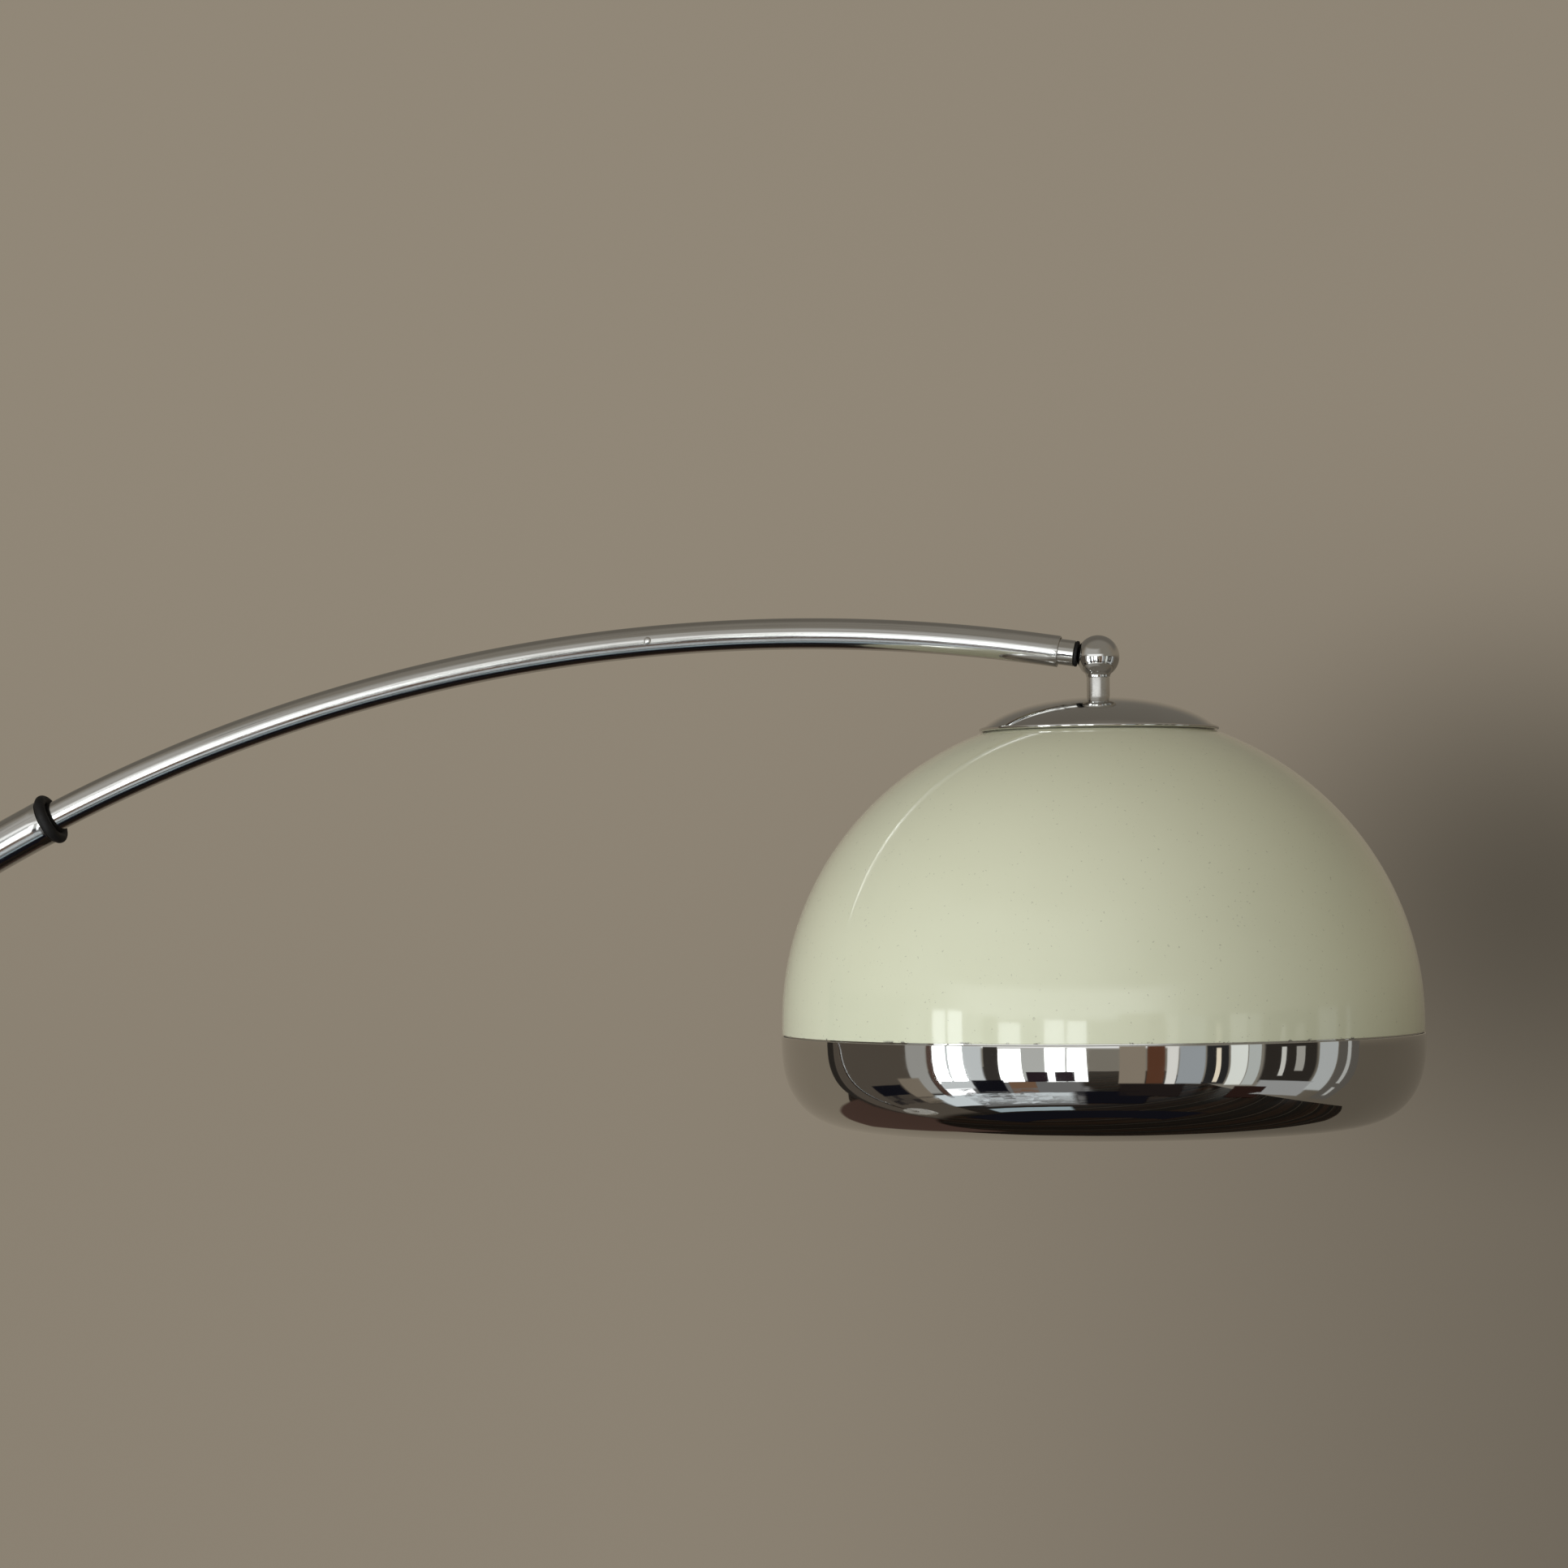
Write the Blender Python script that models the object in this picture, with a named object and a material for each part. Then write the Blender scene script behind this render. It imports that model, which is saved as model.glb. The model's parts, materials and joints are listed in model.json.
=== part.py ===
# Arc floor lamp: a round stone foot, a turning post, a telescoping arc and a domed shade.
# World frame: origin on the floor under the middle of the foot, +Z up, the arc leans over +X.
import math

import bmesh
import bpy
from mathutils import Matrix, Vector

MM = 0.001
SLACK = 0.3  # clearance between two neighbouring pieces, in millimetres

# Arc: angles run along it in degrees from its highest point, positive towards the shade
ARC_RADIUS = 1120.0
ARC_CENTRE_HEIGHT = 770.0
ARC_STEP = 2.0
ARC_FOOT_ANGLE = -90.0
MOUTH_ANGLE = -26.05
INNER_END_ANGLE = -44.0
RIVET_ANGLE = -4.2
TIP_ANGLE = 9.29
TIP_SLOPE = TIP_ANGLE - ARC_STEP / 2
BALL_REACH = 24.6  # from the thin tube's end to the middle of the ball
RING_CORD = 3.4  # thickness radius of the rubber ring past the mouth

# Tubes, as radii
THICK_OUTER = 15.0
THICK_INNER = 13.5
THIN_OUTER = 10.0
THIN_INNER = 8.8
POST_OUTER = 19.0
POST_INNER = 17.0
COLLAR_RADIUS = 25.0
SPINDLE_RADIUS = 12.0
STEM_RADIUS = 7.25
LEAD_RADIUS = 2.8

# Heights above the floor
FELT_TOP = 3.0
FOOT_BOTTOM = FELT_TOP + SLACK
FOOT_TOP = 115.0
RECESS_TOP = 28.0
FLANGE_TOP = 121.3
SPINDLE_LOW = 12.5
SPINDLE_TOP = 215.0
POST_BOTTOM = 124.0
POST_TOP = 640.0
COLLAR_LOW = 612.0
COLLAR_TOP = 666.0
CLAMP_HEIGHT = 653.5
LEG_BOTTOM = 350.0

# Clamp knob on the post's collar
KNOB_RADIUS = 15.5
KNOB_FLUTES = 8

# Foot
FOOT_RADIUS = 190.0
FOOT_EDGE = 8.0
FLANGE_RADIUS = 34.0
SPINDLE_BORE = 8.5
ROSE_RADIUS = 40.0
ROSE_TOP = 135.0
FELT_RADIUS = 178.0
RECESS_RADIUS = 45.0
CHANNEL_WIDTH = 10.6
CHANNEL_TOP = 14.0
INLET_HEIGHT = 8.6

# Swivel: distances run from the middle of the ball back along the arm
SLEEVE_RADIUS = 8.2
SEAT_FACE = 12.6

# Shade: heights are measured from the middle of the ball
BALL_RADIUS = 13.5
BALL_BORE = 9.5
SEAM = -235.0
DOME_RADIUS = 200.0
DOME_RISE = 193.0
DOME_CENTRE = SEAM + 8.0
SHELL = 1.2
DOME_HOLE = 8.0
CAP_CENTRE = -56.2  # the cap is the top of a flat oval
CAP_SPREAD = 78.7
CAP_RISE = 31.0
CAP_EDGE = 73.8
CAP_EDGE_HEIGHT = -45.5
CAP_BEAD = 1.3
CAP_WALL = 1.0
CAP_HOLE = 7.7
BAND_DEPTH = 59.0
BAND_NECK = 10.0  # how far the band reaches up inside the dome
BAND_LIP = 2.4
BAND_PROUD = 0.6
BAND_CORNER = 140.0
BAND_POWER = 2.7
MOUTH_RADIUS = 146.0
TILT_UNDER = 25.0
TILT_OUT = 40.0

ROUND = 36  # sides of the large turned pieces
MIDDLE_ROUND = 20  # of the ones on the post and the stem
SMALL_ROUND = 16  # of the smallest
TUBE_SIDES = 12

CHROME = ("chrome", (0.62, 0.61, 0.59), 0.08, 1.0)
STEEL = ("steel", (0.50, 0.50, 0.49), 0.35, 1.0)
BRASS = ("brass", (0.72, 0.55, 0.26), 0.30, 1.0)
CREAM = ("cream_enamel", (0.71, 0.72, 0.53), 0.22, 0.0)
MARBLE = ("marble", (0.80, 0.79, 0.76), 0.25, 0.0)
FELT = ("felt", (0.10, 0.12, 0.10), 0.95, 0.0)
RUBBER = ("rubber", (0.02, 0.02, 0.02), 0.55, 0.0)
NYLON = ("nylon", (0.82, 0.81, 0.76), 0.45, 0.0)
BLACK = ("black_plastic", (0.03, 0.03, 0.03), 0.40, 0.0)
LEAD = ("lead_sheath", (0.75, 0.74, 0.70), 0.50, 0.0)
OPAL = ("opal_glass", (0.93, 0.92, 0.88), 0.20, 0.0)


def material(spec):
    name, colour, roughness, metallic = spec
    found = bpy.data.materials.get(name)
    if found:
        return found
    made = bpy.data.materials.new(name)
    made.use_nodes = True
    shader = made.node_tree.nodes["Principled BSDF"]
    shader.inputs["Base Color"].default_value = (*colour, 1.0)
    shader.inputs["Roughness"].default_value = roughness
    shader.inputs["Metallic"].default_value = metallic
    return made


def pivot(name, at, parent=None):
    """An empty on the joint axis that one group of pieces turns or slides about."""
    empty = bpy.data.objects.new(name, None)
    empty.empty_display_size = 0.05
    empty.location = Vector(at) * MM
    if parent:
        empty.parent = parent
        empty.location -= parent.location
    bpy.context.collection.objects.link(empty)
    return empty


def finish(name, bm, spec, group, place=Matrix.Identity(4)):
    bmesh.ops.remove_doubles(bm, verts=bm.verts, dist=0.01)
    bmesh.ops.recalc_face_normals(bm, faces=bm.faces)
    bmesh.ops.scale(bm, vec=(MM, MM, MM), verts=bm.verts)
    mesh = bpy.data.meshes.new(name)
    bm.to_mesh(mesh)
    bm.free()
    mesh.shade_smooth()
    mesh.set_sharp_from_angle(angle=math.radians(35))
    mesh.materials.append(material(spec))
    piece = bpy.data.objects.new(name, mesh)
    piece.parent = group
    piece.matrix_local = Matrix.Translation(place.translation * MM) @ place.to_3x3().to_4x4()
    bpy.context.collection.objects.link(piece)
    return piece


def turned(name, outline, spec, group, sides=SMALL_ROUND, place=Matrix.Identity(4)):
    """Spin a closed outline of (radius, height) points about the local Z axis."""
    bm = bmesh.new()
    corners = [bm.verts.new((radius, 0, height)) for radius, height in outline]
    pairs = zip(corners, corners[1:] + corners[:1])
    edges = [bm.edges.new(pair) for pair in pairs if pair[0].co.x or pair[1].co.x]
    bmesh.ops.spin(
        bm, geom=corners + edges, cent=(0, 0, 0), axis=(0, 0, 1),
        angle=math.tau, steps=sides, use_merge=True,
    )
    return finish(name, bm, spec, group, place)


def ring(name, inner, outer, low, high, spec, group, sides=SMALL_ROUND, place=Matrix.Identity(4)):
    outline = [(inner, low), (outer, low), (outer, high), (inner, high)]
    return turned(name, outline, spec, group, sides, place)


def disc(name, radius, low, high, spec, group, sides=SMALL_ROUND, place=Matrix.Identity(4)):
    outline = [(0, low), (radius, low), (radius, high), (0, high)]
    return turned(name, outline, spec, group, sides, place)


def pipe(name, path, outer, inner, spec, group, sides=TUBE_SIDES):
    """A round tube, or a solid rod when inner is 0, along points in the XZ plane."""
    bm = bmesh.new()
    sections = []
    for index, point in enumerate(path):
        before = path[max(index - 1, 0)]
        after = path[min(index + 1, len(path) - 1)]
        across = Vector((0, 1, 0))
        up = (after - before).normalized().cross(across)
        loops = []
        for radius in (outer, inner) if inner else (outer,):
            turns = [math.tau * (k + 0.5) / sides for k in range(sides)]
            loops.append([
                bm.verts.new(point + radius * (math.cos(t) * across + math.sin(t) * up))
                for t in turns
            ])
        sections.append(loops)
    for near, far in zip(sections, sections[1:]):
        for loop_near, loop_far in zip(near, far):
            join_loops(bm, loop_near, loop_far)
    for end in (sections[0], sections[-1]):
        if inner:
            join_loops(bm, *end)
        else:
            bm.faces.new(end[0])
    return finish(name, bm, spec, group)


def join_loops(bm, first, second):
    for k in range(len(first)):
        after = (k + 1) % len(first)
        bm.faces.new((first[k], first[after], second[after], second[k]))


def hexagon(name, flats, bore, low, high, spec, group, place=Matrix.Identity(4)):
    """A hexagon nut with a plain round bore."""
    nut = turned(name, [(0, low), (flats / math.sqrt(3), low), (flats / math.sqrt(3), high), (0, high)],
                 spec, group, 6, place)
    cutter = disc(name + "_bore", bore, low - 1, high + 1, spec, group, SMALL_ROUND, place)
    cut(nut, cutter)
    return nut


def cut(piece, cutter):
    cutter.hide_render = True
    cutter.display_type = "WIRE"
    boolean = piece.modifiers.new(cutter.name, "BOOLEAN")
    boolean.operation = "DIFFERENCE"
    boolean.solver = "EXACT"
    boolean.object = cutter


def block(name, low, high, spec, group):
    """A box between two corners."""
    bm = bmesh.new()
    bmesh.ops.create_cube(bm, size=1.0)
    middle = (Vector(low) + Vector(high)) / 2
    for vertex in bm.verts:
        size = Vector(high) - Vector(low)
        vertex.co = Vector(vertex.co[k] * size[k] + middle[k] for k in range(3))
    return finish(name, bm, spec, group)


def facing(direction, at=(0, 0, 0)):
    """A placement whose local Z axis points along a direction."""
    turn = Vector(direction).to_track_quat("Z", "Y")
    return Matrix.Translation(at) @ turn.to_matrix().to_4x4()


def arc_point(angle, radius=ARC_RADIUS):
    """A point on the arc, from the arc's own centre."""
    turn = math.radians(angle)
    return Vector((radius * math.sin(turn), 0, radius * math.cos(turn)))


def arc_path(start, end):
    steps = round((end - start) / ARC_STEP)
    return [arc_point(end - ARC_STEP * (steps - k)) for k in range(steps + 1)]


def rounded(centre, radii, start, end, steps):
    """Points of an elliptical arc in an outline, angles in degrees from the outward radius."""
    turns = [math.radians(start + (end - start) * k / steps) for k in range(steps + 1)]
    return [(centre[0] + radii[0] * math.cos(t), centre[1] + radii[1] * math.sin(t)) for t in turns]


def make_foot(group):
    disc("felt_pad", FELT_RADIUS, 0, FELT_TOP, FELT, group, ROUND)
    edge = FOOT_EDGE
    outline = [(0, FOOT_BOTTOM), (FOOT_RADIUS - 2, FOOT_BOTTOM), (FOOT_RADIUS, FOOT_BOTTOM + 2)]
    outline += rounded((FOOT_RADIUS - edge, FOOT_TOP - edge), (edge, edge), 0, 90, 4)
    outline += [(0, FOOT_TOP)]
    foot = turned("marble_foot", outline, MARBLE, group, ROUND)
    cut(foot, disc("foot_bore", SPINDLE_RADIUS + 0.5, 0, FOOT_TOP + 5, MARBLE, group, MIDDLE_ROUND))
    cut(foot, disc("foot_recess", RECESS_RADIUS, 0, RECESS_TOP, MARBLE, group, MIDDLE_ROUND))
    half = CHANNEL_WIDTH / 2
    cut(foot, block("foot_channel", (-FOOT_RADIUS - 5, -half, 0), (-30, half, CHANNEL_TOP), MARBLE, group))

    flange_low = FOOT_TOP + SLACK
    outline = [(SPINDLE_BORE, SPINDLE_LOW), (SPINDLE_RADIUS, SPINDLE_LOW), (SPINDLE_RADIUS, flange_low),
               (FLANGE_RADIUS, flange_low), (FLANGE_RADIUS, FLANGE_TOP), (SPINDLE_RADIUS, FLANGE_TOP),
               (SPINDLE_RADIUS, SPINDLE_TOP), (SPINDLE_BORE, SPINDLE_TOP)]
    turned("foot_spindle", outline, STEEL, group, MIDDLE_ROUND)
    ring("clamp_washer", SPINDLE_RADIUS + 0.4, 40, 24.0, RECESS_TOP - SLACK, STEEL, group, MIDDLE_ROUND)
    hexagon("spindle_nut", 36, SPINDLE_RADIUS + 0.3, 12.6, 23.7, STEEL, group)
    inlet = facing((-1, 0, 0), (0, 0, INLET_HEIGHT))
    outline = [(3.2, 172), (4.9, 172), (4.9, FOOT_RADIUS + 0.5), (5.3, FOOT_RADIUS + 0.5),
               (5.3, FOOT_RADIUS + 3), (3.2, FOOT_RADIUS + 3)]
    turned("inlet_bush", outline, BLACK, group, SMALL_ROUND, inlet)
    bend = 12.0
    corner = Vector((-bend, 0, INLET_HEIGHT + bend))
    path = [Vector((-FOOT_RADIUS - 2.8, 0, INLET_HEIGHT))]
    for k in range(6):
        turn = math.radians(18 * k)
        path.append(corner + bend * Vector((math.sin(turn), 0, -math.cos(turn))))
    path.append(Vector((0, 0, SPINDLE_TOP - 10)))
    pipe("foot_lead", path, LEAD_RADIUS, 0, LEAD, group, 8)
    rim, wall = 118.5, 1.6
    rose = [(ROSE_RADIUS - 2.5, flange_low), (ROSE_RADIUS, flange_low), (ROSE_RADIUS, rim)]
    rose += rounded((24, rim), (14, ROSE_TOP - rim), 15, 90, 4)
    rose += [(POST_OUTER + 0.6, ROSE_TOP), (POST_OUTER + 0.6, ROSE_TOP - wall), (24, ROSE_TOP - wall)]
    rose += rounded((24, rim), (12.2, 14.6), 75, 10, 3)
    turned("foot_rose", rose, CHROME, group, MIDDLE_ROUND)
    ring("thrust_washer", SPINDLE_RADIUS + 0.4, POST_OUTER - 0.4, FLANGE_TOP + 0.2, POST_BOTTOM - SLACK,
         NYLON, group, MIDDLE_ROUND)


def make_post(group):
    ring("post_tube", POST_INNER, POST_OUTER, POST_BOTTOM, POST_TOP, CHROME, group, MIDDLE_ROUND)
    bore, rim = SPINDLE_RADIUS + SLACK, POST_INNER - SLACK
    ring("lower_post_bush", bore, rim, 128, 148, NYLON, group, MIDDLE_ROUND)
    ring("upper_post_bush", bore, rim, 188, 208, NYLON, group, MIDDLE_ROUND)
    ring("leg_guide", THICK_OUTER + SLACK, rim, POST_TOP - 60, POST_TOP - 2, NYLON, group, MIDDLE_ROUND)
    outline = [(POST_OUTER + SLACK, COLLAR_LOW), (COLLAR_RADIUS - 1.5, COLLAR_LOW),
               (COLLAR_RADIUS, COLLAR_LOW + 1.5), (COLLAR_RADIUS, COLLAR_TOP - 2.5),
               (COLLAR_RADIUS - 2.5, COLLAR_TOP), (THICK_OUTER + 0.5, COLLAR_TOP),
               (THICK_OUTER + 0.5, POST_TOP + 1), (POST_OUTER + SLACK, POST_TOP + 1)]
    collar = turned("height_collar", outline, CHROME, group, MIDDLE_ROUND)
    screw = facing((-1, 0, 0), (0, 0, CLAMP_HEIGHT))
    cut(collar, disc("screw_hole", 4.35, 10, 30, CHROME, group, 16, screw))


def make_height_knob(group):
    place = facing((-1, 0, 0))
    disc("clamp_screw", 4.0, 18.4, 40, STEEL, group, 16, place)
    disc("screw_pad", 3.2, THICK_OUTER + SLACK, 18.1, NYLON, group, 12, place)
    grip = KNOB_RADIUS
    outline = [(4.3, 29), (8, 29), (8, 34), (14, 35.5), (grip, 37.5), (grip, 46), (13, 48.5),
               (5, 50), (0, 50), (0, 40.3), (4.3, 40.3)]
    knob = turned("height_knob", outline, BLACK, group, 24, place)
    for k in range(KNOB_FLUTES):
        turn = math.tau * k / KNOB_FLUTES
        middle = Matrix.Translation(((grip + 1.1) * math.cos(turn), (grip + 1.1) * math.sin(turn), 0))
        cut(knob, disc(f"knob_flute_{k}", 2.2, 34, 60, BLACK, group, 8, place @ middle))


def make_lower_arc(group):
    """The thick tube: its straight leg slides in the post, its bend holds the thin tube."""
    leg_bottom = arc_point(ARC_FOOT_ANGLE) - Vector((0, 0, ARC_CENTRE_HEIGHT - LEG_BOTTOM))
    bend = [arc_point(ARC_FOOT_ANGLE)] + arc_path(ARC_FOOT_ANGLE, MOUTH_ANGLE)[1:]
    pipe("lower_arc", [leg_bottom] + bend, THICK_OUTER, THICK_INNER, CHROME, group)
    foot = Matrix.Translation(leg_bottom)
    ring("leg_bush", THICK_OUTER + SLACK, POST_INNER - SLACK, 2, 32, NYLON, group, MIDDLE_ROUND, foot)
    bush = arc_path(MOUTH_ANGLE - ARC_STEP, MOUTH_ANGLE)
    pipe("mouth_bush", bush, THICK_INNER - SLACK, THIN_OUTER + SLACK, NYLON, group)
    cord = RING_CORD
    out = math.degrees((cord + 0.4) / ARC_RADIUS)
    middle = arc_point(MOUTH_ANGLE + out)
    along = arc_point(MOUTH_ANGLE + out + 90)
    outline = rounded((THIN_OUTER + cord + SLACK, 0), (cord, cord), 0, 315, 7)
    turned("mouth_ring", outline, RUBBER, group, MIDDLE_ROUND, facing(along, middle))
    lead = [leg_bottom + Vector((0, 0, 10)), arc_point(ARC_FOOT_ANGLE)]
    lead += [arc_point(ARC_FOOT_ANGLE + 4 * k) for k in range(1, 6)]
    pipe("lower_lead", lead, LEAD_RADIUS, 0, LEAD, group, 8)


def make_upper_arc(group):
    """The thin tube that slides out of the thick one, with its guide, stop and tip."""
    tube = pipe("upper_arc", arc_path(INNER_END_ANGLE, TIP_ANGLE), THIN_OUTER, THIN_INNER, CHROME, group)
    inner_end = arc_path(INNER_END_ANGLE, TIP_ANGLE)[:2]
    pipe("arc_guide", inner_end, THICK_INNER - 0.4, THIN_OUTER + 0.15, NYLON, group)
    towards_viewer = facing((0, -1, 0), arc_point(RIVET_ANGLE))
    head = [(0, 7.6), (1.4, 7.6), (1.4, 10.15), (2.4, 10.15), (2.2, 10.7), (1.3, 11.2), (0, 11.3)]
    turned("stop_rivet", head, CHROME, group, 12, towards_viewer)
    cut(tube, disc("rivet_hole", 1.7, 5, 14, CHROME, group, 12, towards_viewer))
    sleeve_middle = tip_point(-(36 - BALL_REACH))
    behind = facing((0, 1, 0), sleeve_middle)
    disc("sleeve_screw", 1.5, SLEEVE_RADIUS - 1.1, 9.7, STEEL, group, 12, behind)
    cut(tube, disc("sleeve_screw_hole", 1.8, 5, 14, CHROME, group, 12, behind))
    lead = [arc_point(TIP_ANGLE - 2.4 - 4 * k) for k in range(13)]
    pipe("upper_lead", lead[::-1], LEAD_RADIUS, 0, LEAD, group, 8)


def tip_point(distance):
    """A point past the thin tube's end, in line with its last straight stretch."""
    slope = math.radians(TIP_SLOPE)
    return arc_point(TIP_ANGLE) + distance * Vector((math.cos(slope), 0, -math.sin(slope)))


def make_swivel(group):
    """The sleeve that spins in the tube's end; heights run from the ball back along the arm."""
    slope = math.radians(TIP_SLOPE)
    place = facing((-math.cos(slope), 0, math.sin(slope)))
    wide, groove = SLEEVE_RADIUS, SLEEVE_RADIUS - 1.4
    sleeve = [(3.4, 14.7), (wide - 0.4, 14.7), (wide, 15.1), (wide, 33.5), (groove, 33.5), (groove, 38.5),
              (wide, 38.5), (wide, 46), (3.4, 46)]
    turned("end_sleeve", sleeve, CHROME, group, MIDDLE_ROUND, place)
    seat_radius = BALL_RADIUS + SLACK
    cup = math.sqrt(seat_radius ** 2 - SEAT_FACE ** 2)
    seat = [(3.6, 14.4), (wide, 14.4), (wide, SEAT_FACE), (cup, SEAT_FACE),
            (3.6, math.sqrt(seat_radius ** 2 - 3.6 ** 2))]
    turned("friction_seat", seat, RUBBER, group, MIDDLE_ROUND, place)
    bolt = [(1.8, 5.2), (4.9, 5.2), (4.9, 6.6), (4.0, 7.6), (3.0, 7.6), (3.0, 56), (1.8, 56)]
    turned("draw_bolt", bolt, STEEL, group, 16, place)
    ring("spring_washer", 3.3, 6.5, 46.3, 47.7, STEEL, group, 16, place)
    hexagon("draw_nut", 10.5, 3.3, 48.0, 53.0, BRASS, group, place)


def make_ball(group):
    """A hollow ball, slotted so that it can tilt around the draw bolt's head."""
    neck = 7.9
    bottom = -math.degrees(math.acos(neck / BALL_RADIUS))
    outline = rounded((0, 0), (BALL_RADIUS, BALL_RADIUS), bottom, 90, 9)[:-1] + [(0, BALL_RADIUS)]
    spigot = 5.8
    inner_bottom = -math.degrees(math.acos(spigot / BALL_BORE))
    outline += [(0, BALL_BORE)] + rounded((0, 0), (BALL_BORE, BALL_BORE), 90, inner_bottom, 6)[1:]
    outline += [(spigot, BALL_RADIUS * math.sin(math.radians(bottom)))]
    ball = turned("ball", outline, CHROME, group, MIDDLE_ROUND)
    cut(ball, make_ball_slot(group))


def make_ball_slot(group):
    """A fan of the width of the bolt, over all the angles the bolt takes in the ball."""
    half, margin = 3.4, 20.0
    start = TIP_SLOPE - TILT_UNDER - margin
    end = TIP_SLOPE + TILT_OUT + margin
    bm = bmesh.new()
    outline = [(4.0, start), (20.0, start)]
    outline += [(20.0, start + (end - start) * k / 6) for k in range(1, 7)] + [(4.0, end)]
    front = []
    for radius, angle in outline:
        turn = math.radians(angle)
        front.append(bm.verts.new((-radius * math.cos(turn), -half, radius * math.sin(turn))))
    face = bm.faces.new(front)
    moved = bmesh.ops.extrude_face_region(bm, geom=[face])["geom"]
    bmesh.ops.translate(bm, vec=(0, 2 * half, 0), verts=[v for v in moved if isinstance(v, bmesh.types.BMVert)])
    return finish("ball_slot", bm, CHROME, group)


def cap_height(radius):
    return CAP_CENTRE + CAP_RISE * math.sqrt(1 - (radius / CAP_SPREAD) ** 2)


def dome_outline(width, rise):
    top = math.degrees(math.acos(DOME_HOLE / width))
    return rounded((0, DOME_CENTRE), (width, rise), 0, top, 8)


def band_outline(width, depth, steps):
    """The band's side: a squared-off quarter oval from the seam round to the mouth."""
    points = []
    for k in range(steps + 1):
        turn = math.radians(87.0 * k / steps)
        power = 2 / BAND_POWER
        across = BAND_CORNER + width * math.cos(turn) ** power
        points.append((across, SEAM - SLACK - depth * math.sin(turn) ** power))
    return points


def make_shade(group):
    outer = dome_outline(DOME_RADIUS, DOME_RISE)
    inner = dome_outline(DOME_RADIUS - SHELL, DOME_RISE - SHELL)
    outline = [(DOME_RADIUS, SEAM)] + outer + inner[::-1] + [(DOME_RADIUS - SHELL, SEAM)]
    turned("shade_dome", outline, CREAM, group, ROUND)

    reach = CAP_EDGE - CAP_WALL - CAP_HOLE
    radii = [CAP_HOLE + reach * (1 - (1 - k / 6) ** 1.5) for k in range(7)]
    outline = [(r, cap_height(r)) for r in radii]
    outline += rounded((CAP_EDGE, CAP_EDGE_HEIGHT), (CAP_BEAD, CAP_BEAD), 45, -135, 4)
    outline += [(r, cap_height(r) - CAP_WALL) for r in radii[-2::-1]]
    turned("top_cap", outline, CHROME, group, 28)

    neck = DOME_RADIUS - SHELL - 0.4
    step = SEAM - SLACK - 0.4
    width = DOME_RADIUS + BAND_PROUD - BAND_CORNER
    outline = [(neck - SHELL, SEAM + BAND_NECK), (neck, SEAM + BAND_NECK), (neck, step)]
    side = band_outline(width, BAND_DEPTH, 7)
    inside = band_outline(width - SHELL, BAND_DEPTH - SHELL, 5)
    outline += [(side[0][0], step)] + side[1:-1]
    outline += rounded((MOUTH_RADIUS, SEAM - SLACK - BAND_DEPTH + BAND_LIP), (BAND_LIP, BAND_LIP), 270, 90, 4)
    outline += inside[-2:0:-1] + [(inside[0][0], SEAM - 2.2), (neck - SHELL, SEAM - 2.2)]
    turned("chrome_band", outline, CHROME, group, ROUND)


def make_stem_and_holder(group):
    low = -54.0
    outline = [(4.0, -9.7), (5.4, -9.7), (5.4, -11.4), (STEM_RADIUS, -11.4), (STEM_RADIUS, low), (4.0, low)]
    turned("stem", outline, CHROME, group, MIDDLE_ROUND)
    bore = STEM_RADIUS + 0.35
    ring("crown_spacer", bore, 15, -33.3, -27.2, NYLON, group)
    ring("crown_washer", bore, 22, -39.3, -37.4, STEEL, group)
    hexagon("stem_nut", 22, bore, -48.5, -39.7, BRASS, group)
    cover = [(bore, -49), (15, -49), (21, -57), (21, -84), (19.8, -84), (19.8, -57.5), (14.5, -50.4),
             (bore, -50.4)]
    turned("holder_cover", cover, BLACK, group, MIDDLE_ROUND)
    body = [(3.2, -60), (19.4, -60), (19.4, -112), (14.4, -112), (14.4, -84), (3.2, -84)]
    turned("holder_body", body, BLACK, group, MIDDLE_ROUND)
    ring("holder_ring", 19.8, 23.5, -102, -94, BLACK, group, MIDDLE_ROUND)
    ring("thread_sleeve", 13.4, 14.0, -108, -88, BRASS, group, MIDDLE_ROUND)
    disc("centre_contact", 6, -85.9, -84.4, BRASS, group, 12)
    pipe("holder_lead", [Vector((0, 0, -16)), Vector((0, 0, -60)), Vector((0, 0, -83.8))], LEAD_RADIUS, 0,
         LEAD, group, 8)


def make_bulb(group):
    cap = [(0, -86.4), (5, -86.4), (9, -88.5), (13.0, -89.5), (13.0, -111.6), (0, -111.6)]
    turned("bulb_cap", cap, BRASS, group)
    sphere, wall, middle = 30.0, 0.9, -167.0
    outer = [(12.0, -112.0), (12.2, -121), (15.5, -130)]
    outer += rounded((0, middle), (sphere, sphere), 40, -90, 7)[:-1] + [(0, middle - sphere)]
    inner = [(12.0 - wall, -112.0), (12.2 - wall, -121), (15.5 - wall, -130.3)]
    inner += rounded((0, middle), (sphere - wall, sphere - wall), 40, -90, 6)[:-1]
    inner += [(0, middle - sphere + wall)]
    turned("bulb_glass", outer + inner[::-1], OPAL, group, MIDDLE_ROUND)


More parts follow.
